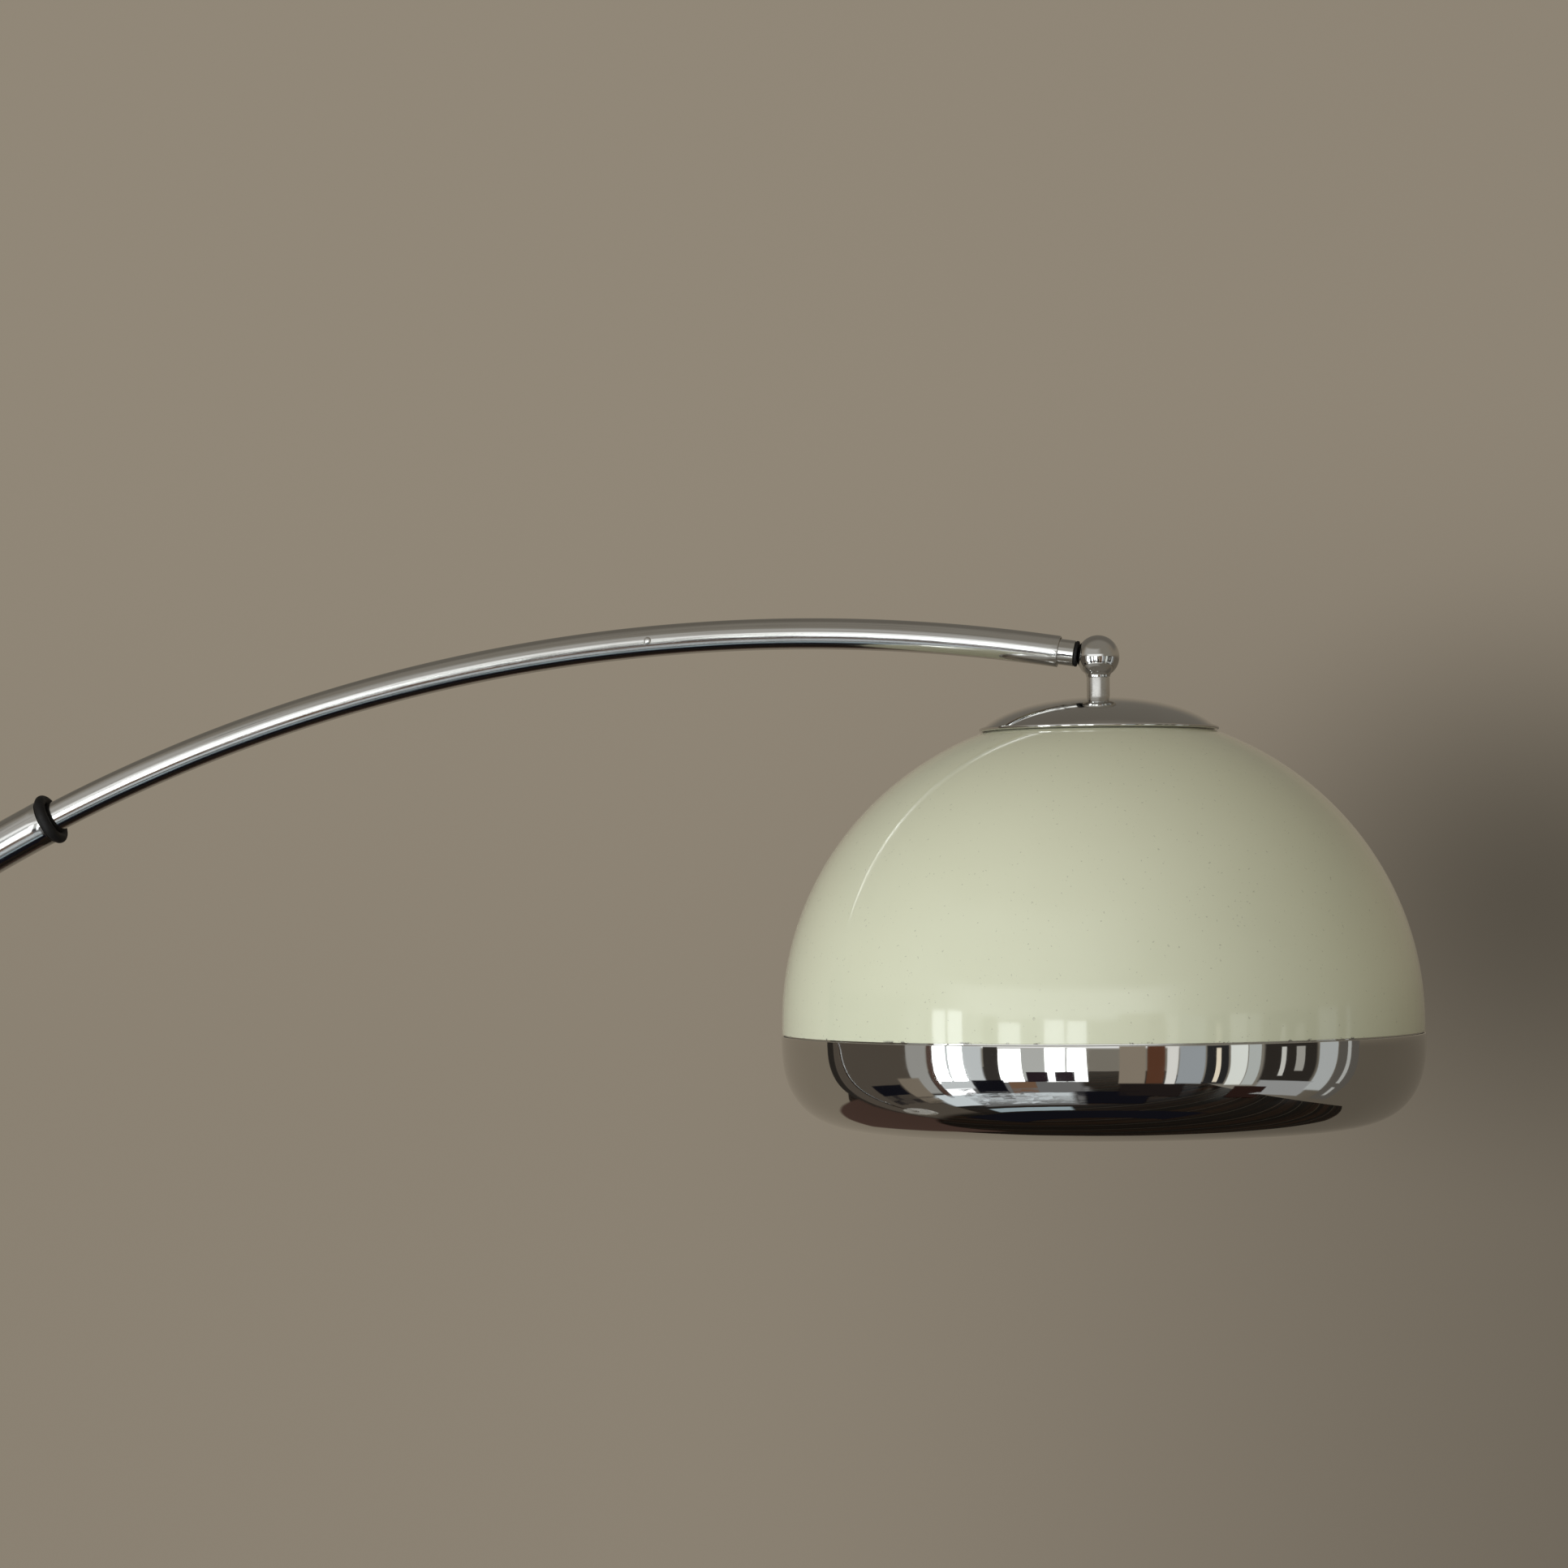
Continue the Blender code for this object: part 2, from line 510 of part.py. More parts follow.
def main():
    for old in list(bpy.data.objects):
        bpy.data.objects.remove(old)
    foot = pivot("foot_group", (0, 0, 0))
    post = pivot("post_group", (0, 0, 0), foot)
    knob = pivot("knob_group", (0, 0, CLAMP_HEIGHT), post)
    arc_centre = (ARC_RADIUS, 0, ARC_CENTRE_HEIGHT)
    lower_arc = pivot("lower_arc_group", arc_centre)
    upper_arc = pivot("upper_arc_group", arc_centre)
    ball_middle = tip_point(BALL_REACH) + Vector(arc_centre)
    swivel = pivot("swivel_group", ball_middle)
    shade = pivot("shade_group", ball_middle)
    make_foot(foot)
    make_post(post)
    make_height_knob(knob)
    make_lower_arc(lower_arc)
    make_upper_arc(upper_arc)
    make_swivel(swivel)
    make_ball(shade)
    make_shade(shade)
    make_stem_and_holder(shade)
    make_bulb(shade)


main()
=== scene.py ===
import json
import math

import bmesh
import bpy
from mathutils import Matrix, Vector


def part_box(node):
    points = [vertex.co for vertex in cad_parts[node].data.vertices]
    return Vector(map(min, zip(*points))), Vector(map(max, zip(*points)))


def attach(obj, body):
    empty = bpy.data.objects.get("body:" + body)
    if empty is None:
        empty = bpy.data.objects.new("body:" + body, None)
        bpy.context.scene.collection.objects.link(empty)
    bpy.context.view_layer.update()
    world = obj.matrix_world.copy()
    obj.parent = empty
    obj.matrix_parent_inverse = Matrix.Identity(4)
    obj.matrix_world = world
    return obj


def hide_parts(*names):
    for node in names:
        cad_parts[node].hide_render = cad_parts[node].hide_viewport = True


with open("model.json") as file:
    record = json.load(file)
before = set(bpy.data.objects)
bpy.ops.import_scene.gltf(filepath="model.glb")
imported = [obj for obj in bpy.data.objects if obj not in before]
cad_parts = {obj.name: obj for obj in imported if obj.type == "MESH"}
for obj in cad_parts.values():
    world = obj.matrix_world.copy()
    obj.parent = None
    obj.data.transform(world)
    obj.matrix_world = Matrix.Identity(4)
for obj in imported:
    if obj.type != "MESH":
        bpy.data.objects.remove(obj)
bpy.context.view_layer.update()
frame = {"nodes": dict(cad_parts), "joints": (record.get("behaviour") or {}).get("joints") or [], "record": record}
nodes = frame["nodes"]
joints = {joint["name"]: joint for joint in frame["joints"]}
mm = 0.001
upright = Matrix.Identity(4)
ballMiddle = Vector(joints["shade_tilt"]["pos_m"])
arcMiddle = Vector(joints["arm_slide"]["pos_m"])
armAlong = Vector(joints["sleeve_turn"]["axis"]).normalized()
seam = (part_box("shade_dome")[0].z - ballMiddle.z) / mm
print("frame loaded")


# Node tree helpers

def addNode(tree, kind, inputs=None, **settings):
    node = tree.nodes.new(kind)
    for key, value in settings.items():
        setattr(node, key, value)
    for key, value in (inputs or {}).items():
        if isinstance(value, bpy.types.NodeSocket):
            tree.links.new(value, node.inputs[key])
        else:
            node.inputs[key].default_value = value
    return node


def calc(tree, operation, *values):
    return addNode(tree, "ShaderNodeMath", dict(enumerate(values)), operation=operation).outputs[0]


def vectorCalc(tree, operation, *values, output=0):
    return addNode(tree, "ShaderNodeVectorMath", dict(enumerate(values)), operation=operation).outputs[output]


def split(tree, vector):
    return addNode(tree, "ShaderNodeSeparateXYZ", {"Vector": vector}).outputs


def lengthOf(tree, first, second):  # length of a step along two axes
    squares = [calc(tree, "POWER", value, 2.0) for value in (first, second)]
    return calc(tree, "SQRT", calc(tree, "ADD", *squares))


def newMaterial(name, shaderValues):
    material = bpy.data.materials.new(name)
    material.use_nodes = True
    tree = material.node_tree
    shader = tree.nodes["Principled BSDF"]
    for key, value in shaderValues.items():
        shader.inputs[key].default_value = value
    return material, tree, shader


def objectSpot(tree):
    return addNode(tree, "ShaderNodeTexCoord").outputs["Object"]


def noiseOf(tree, spot, scale, detail=4.0, roughness=0.55, distortion=0.0):
    return addNode(tree, "ShaderNodeTexNoise", {
        "Vector": spot, "Scale": scale, "Detail": detail, "Roughness": roughness, "Distortion": distortion,
    }).outputs[0]


def ringNoise(tree, value, scale, detail=3.0):  # noise along one number only
    return addNode(tree, "ShaderNodeTexNoise", {
        "W": value, "Scale": scale, "Detail": detail, "Roughness": 0.6,
    }, noise_dimensions="1D").outputs[0]


def remap(tree, value, fromLow, fromHigh, toLow=0.0, toHigh=1.0):
    return addNode(tree, "ShaderNodeMapRange", {
        "Value": value, "From Min": fromLow, "From Max": fromHigh, "To Min": toLow, "To Max": toHigh,
    }).outputs[0]


def smoothStep(tree, value, start, end):
    return addNode(tree, "ShaderNodeMapRange", {"Value": value, "From Min": start, "From Max": end},
                   interpolation_type="SMOOTHSTEP").outputs[0]


def blendColour(tree, factor, first, second, way="MIX"):
    values = {0: factor, 6: first, 7: second}
    values = {key: (*value, 1.0) if isinstance(value, tuple) else value for key, value in values.items()}
    return addNode(tree, "ShaderNodeMix", values, data_type="RGBA", blend_type=way).outputs[2]


def bumpOf(tree, height, distance, strength=1.0, normal=None):
    inputs = {"Height": height, "Distance": distance, "Strength": strength}
    if normal:
        inputs["Normal"] = normal
    return addNode(tree, "ShaderNodeBump", inputs).outputs[0]


def plug(tree, shader, **outputs):
    names = {"colour": "Base Color", "rough": "Roughness", "normal": "Normal", "metal": "Metallic"}
    for key, socket in outputs.items():
        tree.links.new(socket, shader.inputs[names[key]])


# Finishes

def axisSpot(tree, centre):  # position from the middle of a turned piece
    return addNode(tree, "ShaderNodeMapping", {
        "Vector": objectSpot(tree), "Location": tuple(-value for value in centre),
    }).outputs[0]


def polishedChrome(name, look, turnedAbout=None):
    material, tree, shader = newMaterial(name, {"Metallic": 1.0, "Specular IOR Level": 0.5})
    spot = objectSpot(tree)
    smudge = noiseOf(tree, spot, look["smudgeScale"], 6.0, 0.65)
    rough = remap(tree, smudge, 0.42, 0.72, *look["rough"])
    haze = noiseOf(tree, spot, look["hazeScale"], 3.0)
    colour = blendColour(tree, remap(tree, haze, 0.3, 0.7), look["tint"], look["tarnish"])
    dust = remap(tree, noiseOf(tree, spot, 900.0, 2.0), 0.70, 0.78, 0.0, 0.25)
    colour = blendColour(tree, dust, colour, (0.30, 0.29, 0.27))
    rough = calc(tree, "ADD", rough, calc(tree, "MULTIPLY", dust, 0.3))
    normal = bumpOf(tree, noiseOf(tree, spot, look["rippleScale"], 1.0), look["ripple"])
    if turnedAbout:
        local = split(tree, axisSpot(tree, turnedAbout))
        across = lengthOf(tree, local[0], local[1])
        turning = ringNoise(tree, calc(tree, "SUBTRACT", across, local[2]), 900.0)
        normal = bumpOf(tree, turning, look["turning"], 1.0, normal)
    plug(tree, shader, colour=colour, rough=rough, normal=normal)
    return material


def tubeChrome(name, look):  # polished tube with fine rubbing marks along its length
    material, tree, shader = newMaterial(name, {"Metallic": 1.0})
    along = addNode(tree, "ShaderNodeAttribute", attribute_name="along").outputs["Fac"]
    around = addNode(tree, "ShaderNodeAttribute", attribute_name="around").outputs["Vector"]
    stretched = vectorCalc(tree, "MULTIPLY", around, (look["markDensity"],) * 3)
    run = addNode(tree, "ShaderNodeCombineXYZ", {"Z": calc(tree, "MULTIPLY", along, look["markLength"])})
    grain = vectorCalc(tree, "ADD", stretched, run.outputs[0])
    marks = noiseOf(tree, grain, 1.0, 3.0)
    spot = objectSpot(tree)
    smudge = noiseOf(tree, spot, look["smudgeScale"], 6.0, 0.65)
    rough = remap(tree, smudge, 0.42, 0.75, *look["rough"])
    rough = calc(tree, "ADD", rough, remap(tree, marks, 0.62, 0.75, 0.0, 0.10))
    haze = remap(tree, noiseOf(tree, spot, look["hazeScale"], 3.0), 0.3, 0.7)
    colour = blendColour(tree, haze, look["tint"], look["tarnish"])
    fine = noiseOf(tree, grain, look["scratchScale"], 2.0)
    scratch = calc(tree, "MULTIPLY", remap(tree, fine, 0.60, 0.66, 0.0, look["scratchShade"]),
                   remap(tree, smudge, 0.40, 0.60, 0.3, 1.0))
    colour = blendColour(tree, scratch, colour, (0.16, 0.155, 0.145))
    normal = bumpOf(tree, marks, look["markDepth"])
    normal = bumpOf(tree, noiseOf(tree, spot, look["rippleScale"], 1.0), look["ripple"], 1.0, normal)
    plug(tree, shader, colour=colour, rough=rough, normal=normal)
    return material


def glossEnamel(name, look):
    material, tree, shader = newMaterial(name, {
        "IOR": 1.52, "Coat Weight": 0.35, "Coat Roughness": 0.03, "Coat IOR": 1.5,
    })
    spot = objectSpot(tree)
    height = split(tree, axisSpot(tree, ballMiddle))[2]
    aged = remap(tree, height, seam * mm, 0.0)
    cloud = remap(tree, noiseOf(tree, spot, 9.0, 3.0), 0.3, 0.7)
    colour = blendColour(tree, cloud, look["fresh"], look["cloudy"])
    colour = blendColour(tree, calc(tree, "MULTIPLY", aged, 0.8), colour, look["yellowed"])
    inside = addNode(tree, "ShaderNodeAttribute", attribute_name="insideCoat").outputs["Fac"]
    colour = blendColour(tree, inside, colour, look["inside"])
    speck = remap(tree, noiseOf(tree, spot, 520.0, 1.0), 0.735, 0.75, 0.0, 0.35)
    colour = blendColour(tree, speck, colour, (0.20, 0.19, 0.14))
    lip = remap(tree, height, (seam + look["chips"][0]) * mm, (seam + look["chips"][1]) * mm)
    chips = remap(tree, noiseOf(tree, spot, 140.0, 5.0, 0.7), 0.58, 0.62)
    chipped = calc(tree, "MULTIPLY", lip, chips)
    colour = blendColour(tree, chipped, colour, (0.12, 0.11, 0.10))
    film = remap(tree, noiseOf(tree, spot, 14.0, 6.0, 0.7), 0.4, 0.75, *look["rough"])
    rough = calc(tree, "ADD", film, calc(tree, "MULTIPLY", inside, 0.3))
    peel = bumpOf(tree, noiseOf(tree, spot, 260.0, 2.0), look["peel"])
    normal = bumpOf(tree, noiseOf(tree, spot, 12.0, 1.0), look["ripple"], 1.0, peel)
    plug(tree, shader, colour=colour, rough=rough, normal=normal)
    return material


def veinedMarble(name, look):
    material, tree, shader = newMaterial(name, {
        "IOR": 1.5, "Coat Weight": 0.5, "Coat Roughness": 0.08, "Subsurface Weight": 0.0,
    })
    spot = objectSpot(tree)
    warp = addNode(tree, "ShaderNodeTexNoise", {"Vector": spot, "Scale": 5.0, "Detail": 5.0})
    bent = vectorCalc(tree, "MULTIPLY", warp.outputs["Color"], (look["warp"],) * 3)
    moved = vectorCalc(tree, "ADD", spot, bent)
    veins = None
    for scale, width in ((6.0, 0.035), (15.0, 0.018)):
        band = calc(tree, "ABSOLUTE", calc(tree, "SUBTRACT", noiseOf(tree, moved, scale, 2.0), 0.5))
        line = remap(tree, band, 0.0, width, 1.0, 0.0)
        veins = line if veins is None else calc(tree, "MAXIMUM", veins, calc(tree, "MULTIPLY", line, 0.5))
    patch = remap(tree, noiseOf(tree, spot, 7.0, 3.0), 0.4, 0.65, 0.15, 1.0)
    cloud = remap(tree, noiseOf(tree, moved, 11.0, 6.0), 0.3, 0.75)
    colour = blendColour(tree, cloud, look["white"], look["cloud"])
    colour = blendColour(tree, calc(tree, "MULTIPLY", veins, patch), colour, look["vein"])
    crystal = noiseOf(tree, spot, 900.0, 2.0)
    colour = blendColour(tree, remap(tree, crystal, 0.45, 0.7, 0.0, 0.10), colour, (1.0, 1.0, 0.98))
    rough = remap(tree, noiseOf(tree, spot, 30.0, 5.0), 0.35, 0.7, *look["rough"])
    normal = bumpOf(tree, noiseOf(tree, spot, 180.0, 3.0), 0.00002)
    plug(tree, shader, colour=colour, rough=rough, normal=normal)
    return material


def plainFinish(name, look):  # rubber, nylon, moulded plastic, felt, turned brass and steel
    material, tree, shader = newMaterial(name, look.get("shader", {}))
    spot = objectSpot(tree)
    patch = remap(tree, noiseOf(tree, spot, look["patchScale"], 5.0), 0.3, 0.7)
    colour = blendColour(tree, patch, look["colour"], look["patch"])
    grain = noiseOf(tree, spot, look["grainScale"], 4.0, 0.7)
    colour = blendColour(tree, remap(tree, grain, 0.55, 0.75, 0.0, look["dust"]), colour, look["dustColour"])
    rough = remap(tree, grain, 0.3, 0.7, *look["rough"])
    plug(tree, shader, colour=colour, rough=rough, normal=bumpOf(tree, grain, look["grainDepth"]))
    return material


chromeTint = dict(tint=(0.63, 0.625, 0.61), tarnish=(0.58, 0.565, 0.54))
turnedGrain = dict(grainScale=900.0, grainDepth=0.00002, dust=0.2, shader={"Metallic": 1.0})
finishes = {
    "bandChrome": polishedChrome("bandChrome", dict(
        chromeTint, smudgeScale=11.0, rough=(0.015, 0.07), hazeScale=7.0, rippleScale=22.0, ripple=0.00016,
        turning=0.0000012), ballMiddle),
    "capChrome": polishedChrome("capChrome", dict(
        chromeTint, smudgeScale=22.0, rough=(0.03, 0.12), hazeScale=14.0, rippleScale=26.0, ripple=0.0001,
        turning=0.000003), ballMiddle),
    "fittingChrome": polishedChrome("fittingChrome", dict(
        chromeTint, smudgeScale=60.0, rough=(0.03, 0.12), hazeScale=40.0, rippleScale=90.0, ripple=0.00002)),
    "dullChrome": polishedChrome("dullChrome", dict(
        chromeTint, smudgeScale=70.0, rough=(0.20, 0.32), hazeScale=60.0, rippleScale=220.0, ripple=0.00003)),
    "armChrome": tubeChrome("armChrome", dict(
        chromeTint, smudgeScale=18.0, rough=(0.03, 0.13), hazeScale=6.0, rippleScale=14.0, ripple=0.00008,
        markDensity=34.0, markLength=5.0, markDepth=0.00003, scratchScale=1.7, scratchShade=0.7)),
    "creamEnamel": glossEnamel("creamEnamel", dict(
        fresh=(0.665, 0.685, 0.535), cloudy=(0.635, 0.655, 0.505), yellowed=(0.63, 0.62, 0.455),
        inside=(0.78, 0.78, 0.73), rough=(0.06, 0.16), peel=0.000006, ripple=0.00012, chips=(1.4, 0.2))),
    "whiteMarble": veinedMarble("whiteMarble", dict(
        white=(0.80, 0.79, 0.76), cloud=(0.66, 0.66, 0.65), vein=(0.28, 0.29, 0.31), rough=(0.10, 0.22),
        warp=0.16)),
    "blackRubber": plainFinish("blackRubber", dict(
        colour=(0.005, 0.0045, 0.0045), patch=(0.009, 0.008, 0.008), patchScale=90.0, grainScale=420.0,
        grainDepth=0.0003, dust=0.12, dustColour=(0.03, 0.028, 0.026), rough=(0.45, 0.7),
        shader={"Specular IOR Level": 0.25})),
    "mouldedBlack": plainFinish("mouldedBlack", dict(
        colour=(0.016, 0.015, 0.014), patch=(0.026, 0.024, 0.022), patchScale=40.0, grainScale=1200.0,
        grainDepth=0.00002, dust=0.12, dustColour=(0.12, 0.11, 0.10), rough=(0.18, 0.34))),
    "naturalNylon": plainFinish("naturalNylon", dict(
        colour=(0.74, 0.72, 0.64), patch=(0.68, 0.65, 0.56), patchScale=50.0, grainScale=800.0,
        grainDepth=0.00003, dust=0.2, dustColour=(0.45, 0.42, 0.36), rough=(0.32, 0.50))),
    "darkFelt": plainFinish("darkFelt", dict(
        colour=(0.045, 0.055, 0.045), patch=(0.065, 0.075, 0.060), patchScale=35.0, grainScale=1500.0,
        grainDepth=0.0006, dust=0.5, dustColour=(0.16, 0.17, 0.15), rough=(0.85, 1.0),
        shader={"Sheen Weight": 0.4, "Sheen Roughness": 0.6})),
    "turnedBrass": plainFinish("turnedBrass", dict(
        turnedGrain, colour=(0.72, 0.53, 0.24), patch=(0.58, 0.40, 0.16), patchScale=70.0,
        dustColour=(0.30, 0.20, 0.09), rough=(0.22, 0.42))),
    "plainSteel": plainFinish("plainSteel", dict(
        turnedGrain, colour=(0.50, 0.50, 0.49), patch=(0.40, 0.39, 0.37), patchScale=60.0,
        dustColour=(0.24, 0.21, 0.18), rough=(0.28, 0.48))),
    "leadSheath": plainFinish("leadSheath", dict(
        colour=(0.72, 0.71, 0.66), patch=(0.64, 0.62, 0.55), patchScale=30.0, grainScale=1000.0,
        grainDepth=0.00003, dust=0.3, dustColour=(0.42, 0.40, 0.35), rough=(0.40, 0.55))),
    "opalGlass": plainFinish("opalGlass", dict(
        colour=(0.90, 0.89, 0.85), patch=(0.86, 0.85, 0.80), patchScale=25.0, grainScale=600.0,
        grainDepth=0.000004, dust=0.1, dustColour=(0.60, 0.58, 0.52), rough=(0.10, 0.18),
        shader={"Coat Weight": 0.3, "Coat Roughness": 0.05})),
}
slotFinish = {
    "chrome": "fittingChrome", "steel": "plainSteel", "brass": "turnedBrass", "cream_enamel": "creamEnamel",
    "marble": "whiteMarble", "felt": "darkFelt", "rubber": "blackRubber", "nylon": "naturalNylon",
    "black_plastic": "mouldedBlack", "lead_sheath": "leadSheath", "opal_glass": "opalGlass",
}
print("finishes mixed")


# Mesh helpers

def facing(direction, at=(0, 0, 0)):  # local Z turned along a direction
    return Matrix.Translation(at) @ Vector(direction).to_track_quat("Z", "Y").to_matrix().to_4x4()


def arcOutline(centre, radii, start, end, steps):
    turns = [math.radians(start + (end - start) * k / steps) for k in range(steps + 1)]
    return [(centre[0] + radii[0] * math.cos(t), centre[1] + radii[1] * math.sin(t)) for t in turns]


def softOutline(points, steps=5):  # a third number on a corner rounds it to that radius
    soft = []
    for k, point in enumerate(points):
        if len(point) == 2:
            soft.append(point)
            continue
        here = Vector(point[:2])
        back = Vector(points[k - 1][:2]) - here
        ahead = Vector(points[(k + 1) % len(points)][:2]) - here
        half = back.angle(ahead) / 2
        reach = min(point[2] / math.tan(half), 0.48 * back.length, 0.48 * ahead.length)
        middle = here + (back.normalized() + ahead.normalized()).normalized() * reach / math.cos(half)
        start = here + back.normalized() * reach - middle
        end = here + ahead.normalized() * reach - middle
        for step in range(steps + 1):
            arm = start.lerp(end, step / steps).normalized() * start.length
            soft.append(tuple(middle + arm))
    return soft


def latheMesh(outline, sides, place):
    bm = bmesh.new()
    corners = [bm.verts.new((radius * mm, 0, height * mm)) for radius, height in outline]
    pairs = zip(corners, corners[1:] + corners[:1])
    edges = [bm.edges.new(pair) for pair in pairs if max(pair[0].co.x, pair[1].co.x) > 1e-7]
    bmesh.ops.spin(bm, geom=corners + edges, cent=(0, 0, 0), axis=(0, 0, 1), angle=math.tau, steps=sides,
                   use_merge=True)
    bmesh.ops.remove_doubles(bm, verts=bm.verts, dist=1e-7)
    bmesh.ops.recalc_face_normals(bm, faces=bm.faces)
    bm.transform(place)
    mesh = bpy.data.meshes.new("turned")
    bm.to_mesh(mesh)
    bm.free()
    return mesh


def newObject(name, data):
    thing = bpy.data.objects.new(name, data)
    bpy.context.collection.objects.link(thing)
    return thing


def newPiece(name, mesh, finish, body, slot, *replaced, sharp=35.0):
    piece = newObject(name, mesh)
    mesh.name = name
    mesh.materials.clear()
    mesh.materials.append(finishes[finish])
    mesh.shade_smooth()
    mesh.set_sharp_from_angle(angle=math.radians(sharp))
    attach(piece, body)
    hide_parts(*replaced)
    return piece


def turnPiece(name, outline, sides, place, finish, body, slot, *replaced):
    return newPiece(name, latheMesh(outline, sides, place), finish, body, slot, *replaced)


def plainMesh(host):
    return bpy.data.meshes.new_from_object(host.evaluated_get(bpy.context.evaluated_depsgraph_get()))


def growMesh(tree, values, seedMesh=None, extras=()):  # runs a Geometry Nodes tree and keeps a plain mesh
    host = newObject("host", seedMesh or bpy.data.meshes.new("host"))
    modifier = host.modifiers.new("grow", "NODES")
    modifier.node_group = tree
    for item in tree.interface.items_tree:
        if item.in_out == "INPUT" and item.name in values:
            modifier[item.identifier] = values[item.name]
    for kind, settings in extras:
        extra = host.modifiers.new(kind, kind)
        for key, value in settings.items():
            setattr(extra, key, value)
    mesh = plainMesh(host)
    bpy.data.objects.remove(host)
    return mesh


def joinMeshes(*meshes):
    bm = bmesh.new()
    for mesh in meshes:
        bm.from_mesh(mesh)
    joined = bpy.data.meshes.new("joined")
    bm.to_mesh(joined)
    bm.free()
    return joined


def newTree(name, sockets):
    tree = bpy.data.node_groups.new(name, "GeometryNodeTree")
    tree.interface.new_socket("Geometry", in_out="INPUT", socket_type="NodeSocketGeometry")
    for socketName, kind in sockets.items():
        tree.interface.new_socket(socketName, in_out="INPUT", socket_type="NodeSocket" + kind)
    tree.interface.new_socket("Geometry", in_out="OUTPUT", socket_type="NodeSocketGeometry")
    return tree, addNode(tree, "NodeGroupInput").outputs


def closeTree(tree, geometry, material):
    whole = addNode(tree, "GeometryNodeRealizeInstances", {"Geometry": geometry}).outputs[0]
    painted = addNode(tree, "GeometryNodeSetMaterial", {"Geometry": whole, "Material": material}).outputs[0]
    addNode(tree, "NodeGroupOutput", {"Geometry": painted})
    return tree


def bentTubeTree():  # a straight leg that runs into an arc, both swept by one circle
    tree, given = newTree("bentTube", {
        "Leg": "Float", "Arc Radius": "Float", "Start Turn": "Float",
        "Arc Length": "Float", "Tube Radius": "Float", "Middle": "Vector",
        "Rings": "Int", "Sides": "Int", "Finish": "Material",
    })
    far = addNode(tree, "ShaderNodeCombineXYZ", {"X": calc(tree, "ADD", given["Leg"], given["Arc Length"])})
    line = addNode(tree, "GeometryNodeCurvePrimitiveLine", {"End": far.outputs[0]}).outputs[0]
    line = addNode(tree, "GeometryNodeResampleCurve", {"Curve": line, "Count": given["Rings"]}).outputs[0]
    spot = addNode(tree, "GeometryNodeInputPosition").outputs[0]
    run = split(tree, spot)[0]
    line = addNode(tree, "GeometryNodeStoreNamedAttribute", {
        "Geometry": line, "Name": "along", "Value": run,
    }, data_type="FLOAT", domain="POINT").outputs[0]
    past = calc(tree, "SUBTRACT", run, given["Leg"])
    turn = calc(tree, "DIVIDE", calc(tree, "MAXIMUM", past, 0.0), given["Arc Radius"])
    turn = calc(tree, "ADD", turn, given["Start Turn"])
    inward = calc(tree, "MULTIPLY", given["Arc Radius"], -1.0)
    across = calc(tree, "MULTIPLY", calc(tree, "COSINE", turn), inward)
    up = calc(tree, "MULTIPLY", calc(tree, "SINE", turn), given["Arc Radius"])
    up = calc(tree, "ADD", up, calc(tree, "MINIMUM", past, 0.0))
    bent = addNode(tree, "ShaderNodeCombineXYZ", {"X": across, "Z": up}).outputs[0]
    placed = vectorCalc(tree, "ADD", bent, given["Middle"])
    line = addNode(tree, "GeometryNodeSetPosition", {"Geometry": line, "Position": placed}).outputs[0]
    circle = addNode(tree, "GeometryNodeCurvePrimitiveCircle", {
        "Resolution": given["Sides"], "Radius": given["Tube Radius"],
    }).outputs[0]
    unit = vectorCalc(tree, "NORMALIZE", spot)
    circle = addNode(tree, "GeometryNodeStoreNamedAttribute", {
        "Geometry": circle, "Name": "around", "Value": unit,
    }, data_type="FLOAT_VECTOR", domain="POINT").outputs[0]
    skin = addNode(tree, "GeometryNodeCurveToMesh", {"Curve": line, "Profile Curve": circle}).outputs[0]
    return closeTree(tree, skin, given["Finish"])


def fluteTree():  # presses finger grooves into a turned grip about its own Z axis
    tree, given = newTree("gripFlutes", {
        "Count": "Float", "Depth": "Float", "From": "Float",
        "To": "Float", "Rim": "Float", "Finish": "Material",
    })
    spot = addNode(tree, "GeometryNodeInputPosition").outputs[0]
    part = split(tree, spot)
    turn = calc(tree, "MULTIPLY", calc(tree, "ARCTAN2", part[1], part[0]), given["Count"])
    wave = calc(tree, "COSINE", calc(tree, "DIVIDE", turn, 2.0))
    wave = calc(tree, "POWER", calc(tree, "ABSOLUTE", wave), 3.0)
    across = lengthOf(tree, part[0], part[1])
    near = calc(tree, "GREATER_THAN", across, calc(tree, "MULTIPLY", given["Rim"], 0.7))
    inBand = calc(tree, "MULTIPLY", calc(tree, "GREATER_THAN", part[2], given["From"]),
                  calc(tree, "LESS_THAN", part[2], given["To"]))
    where = calc(tree, "MULTIPLY", near, inBand)
    press = calc(tree, "MULTIPLY", calc(tree, "MULTIPLY", wave, given["Depth"]), where)
    keep = calc(tree, "SUBTRACT", 1.0, calc(tree, "DIVIDE", press, given["Rim"]))
    moved = addNode(tree, "ShaderNodeCombineXYZ", {
        "X": calc(tree, "MULTIPLY", part[0], keep), "Y": calc(tree, "MULTIPLY", part[1], keep), "Z": part[2],
    }).outputs[0]
    shaped = addNode(tree, "GeometryNodeSetPosition", {"Geometry": given["Geometry"], "Position": moved})
    return closeTree(tree, shaped.outputs[0], given["Finish"])


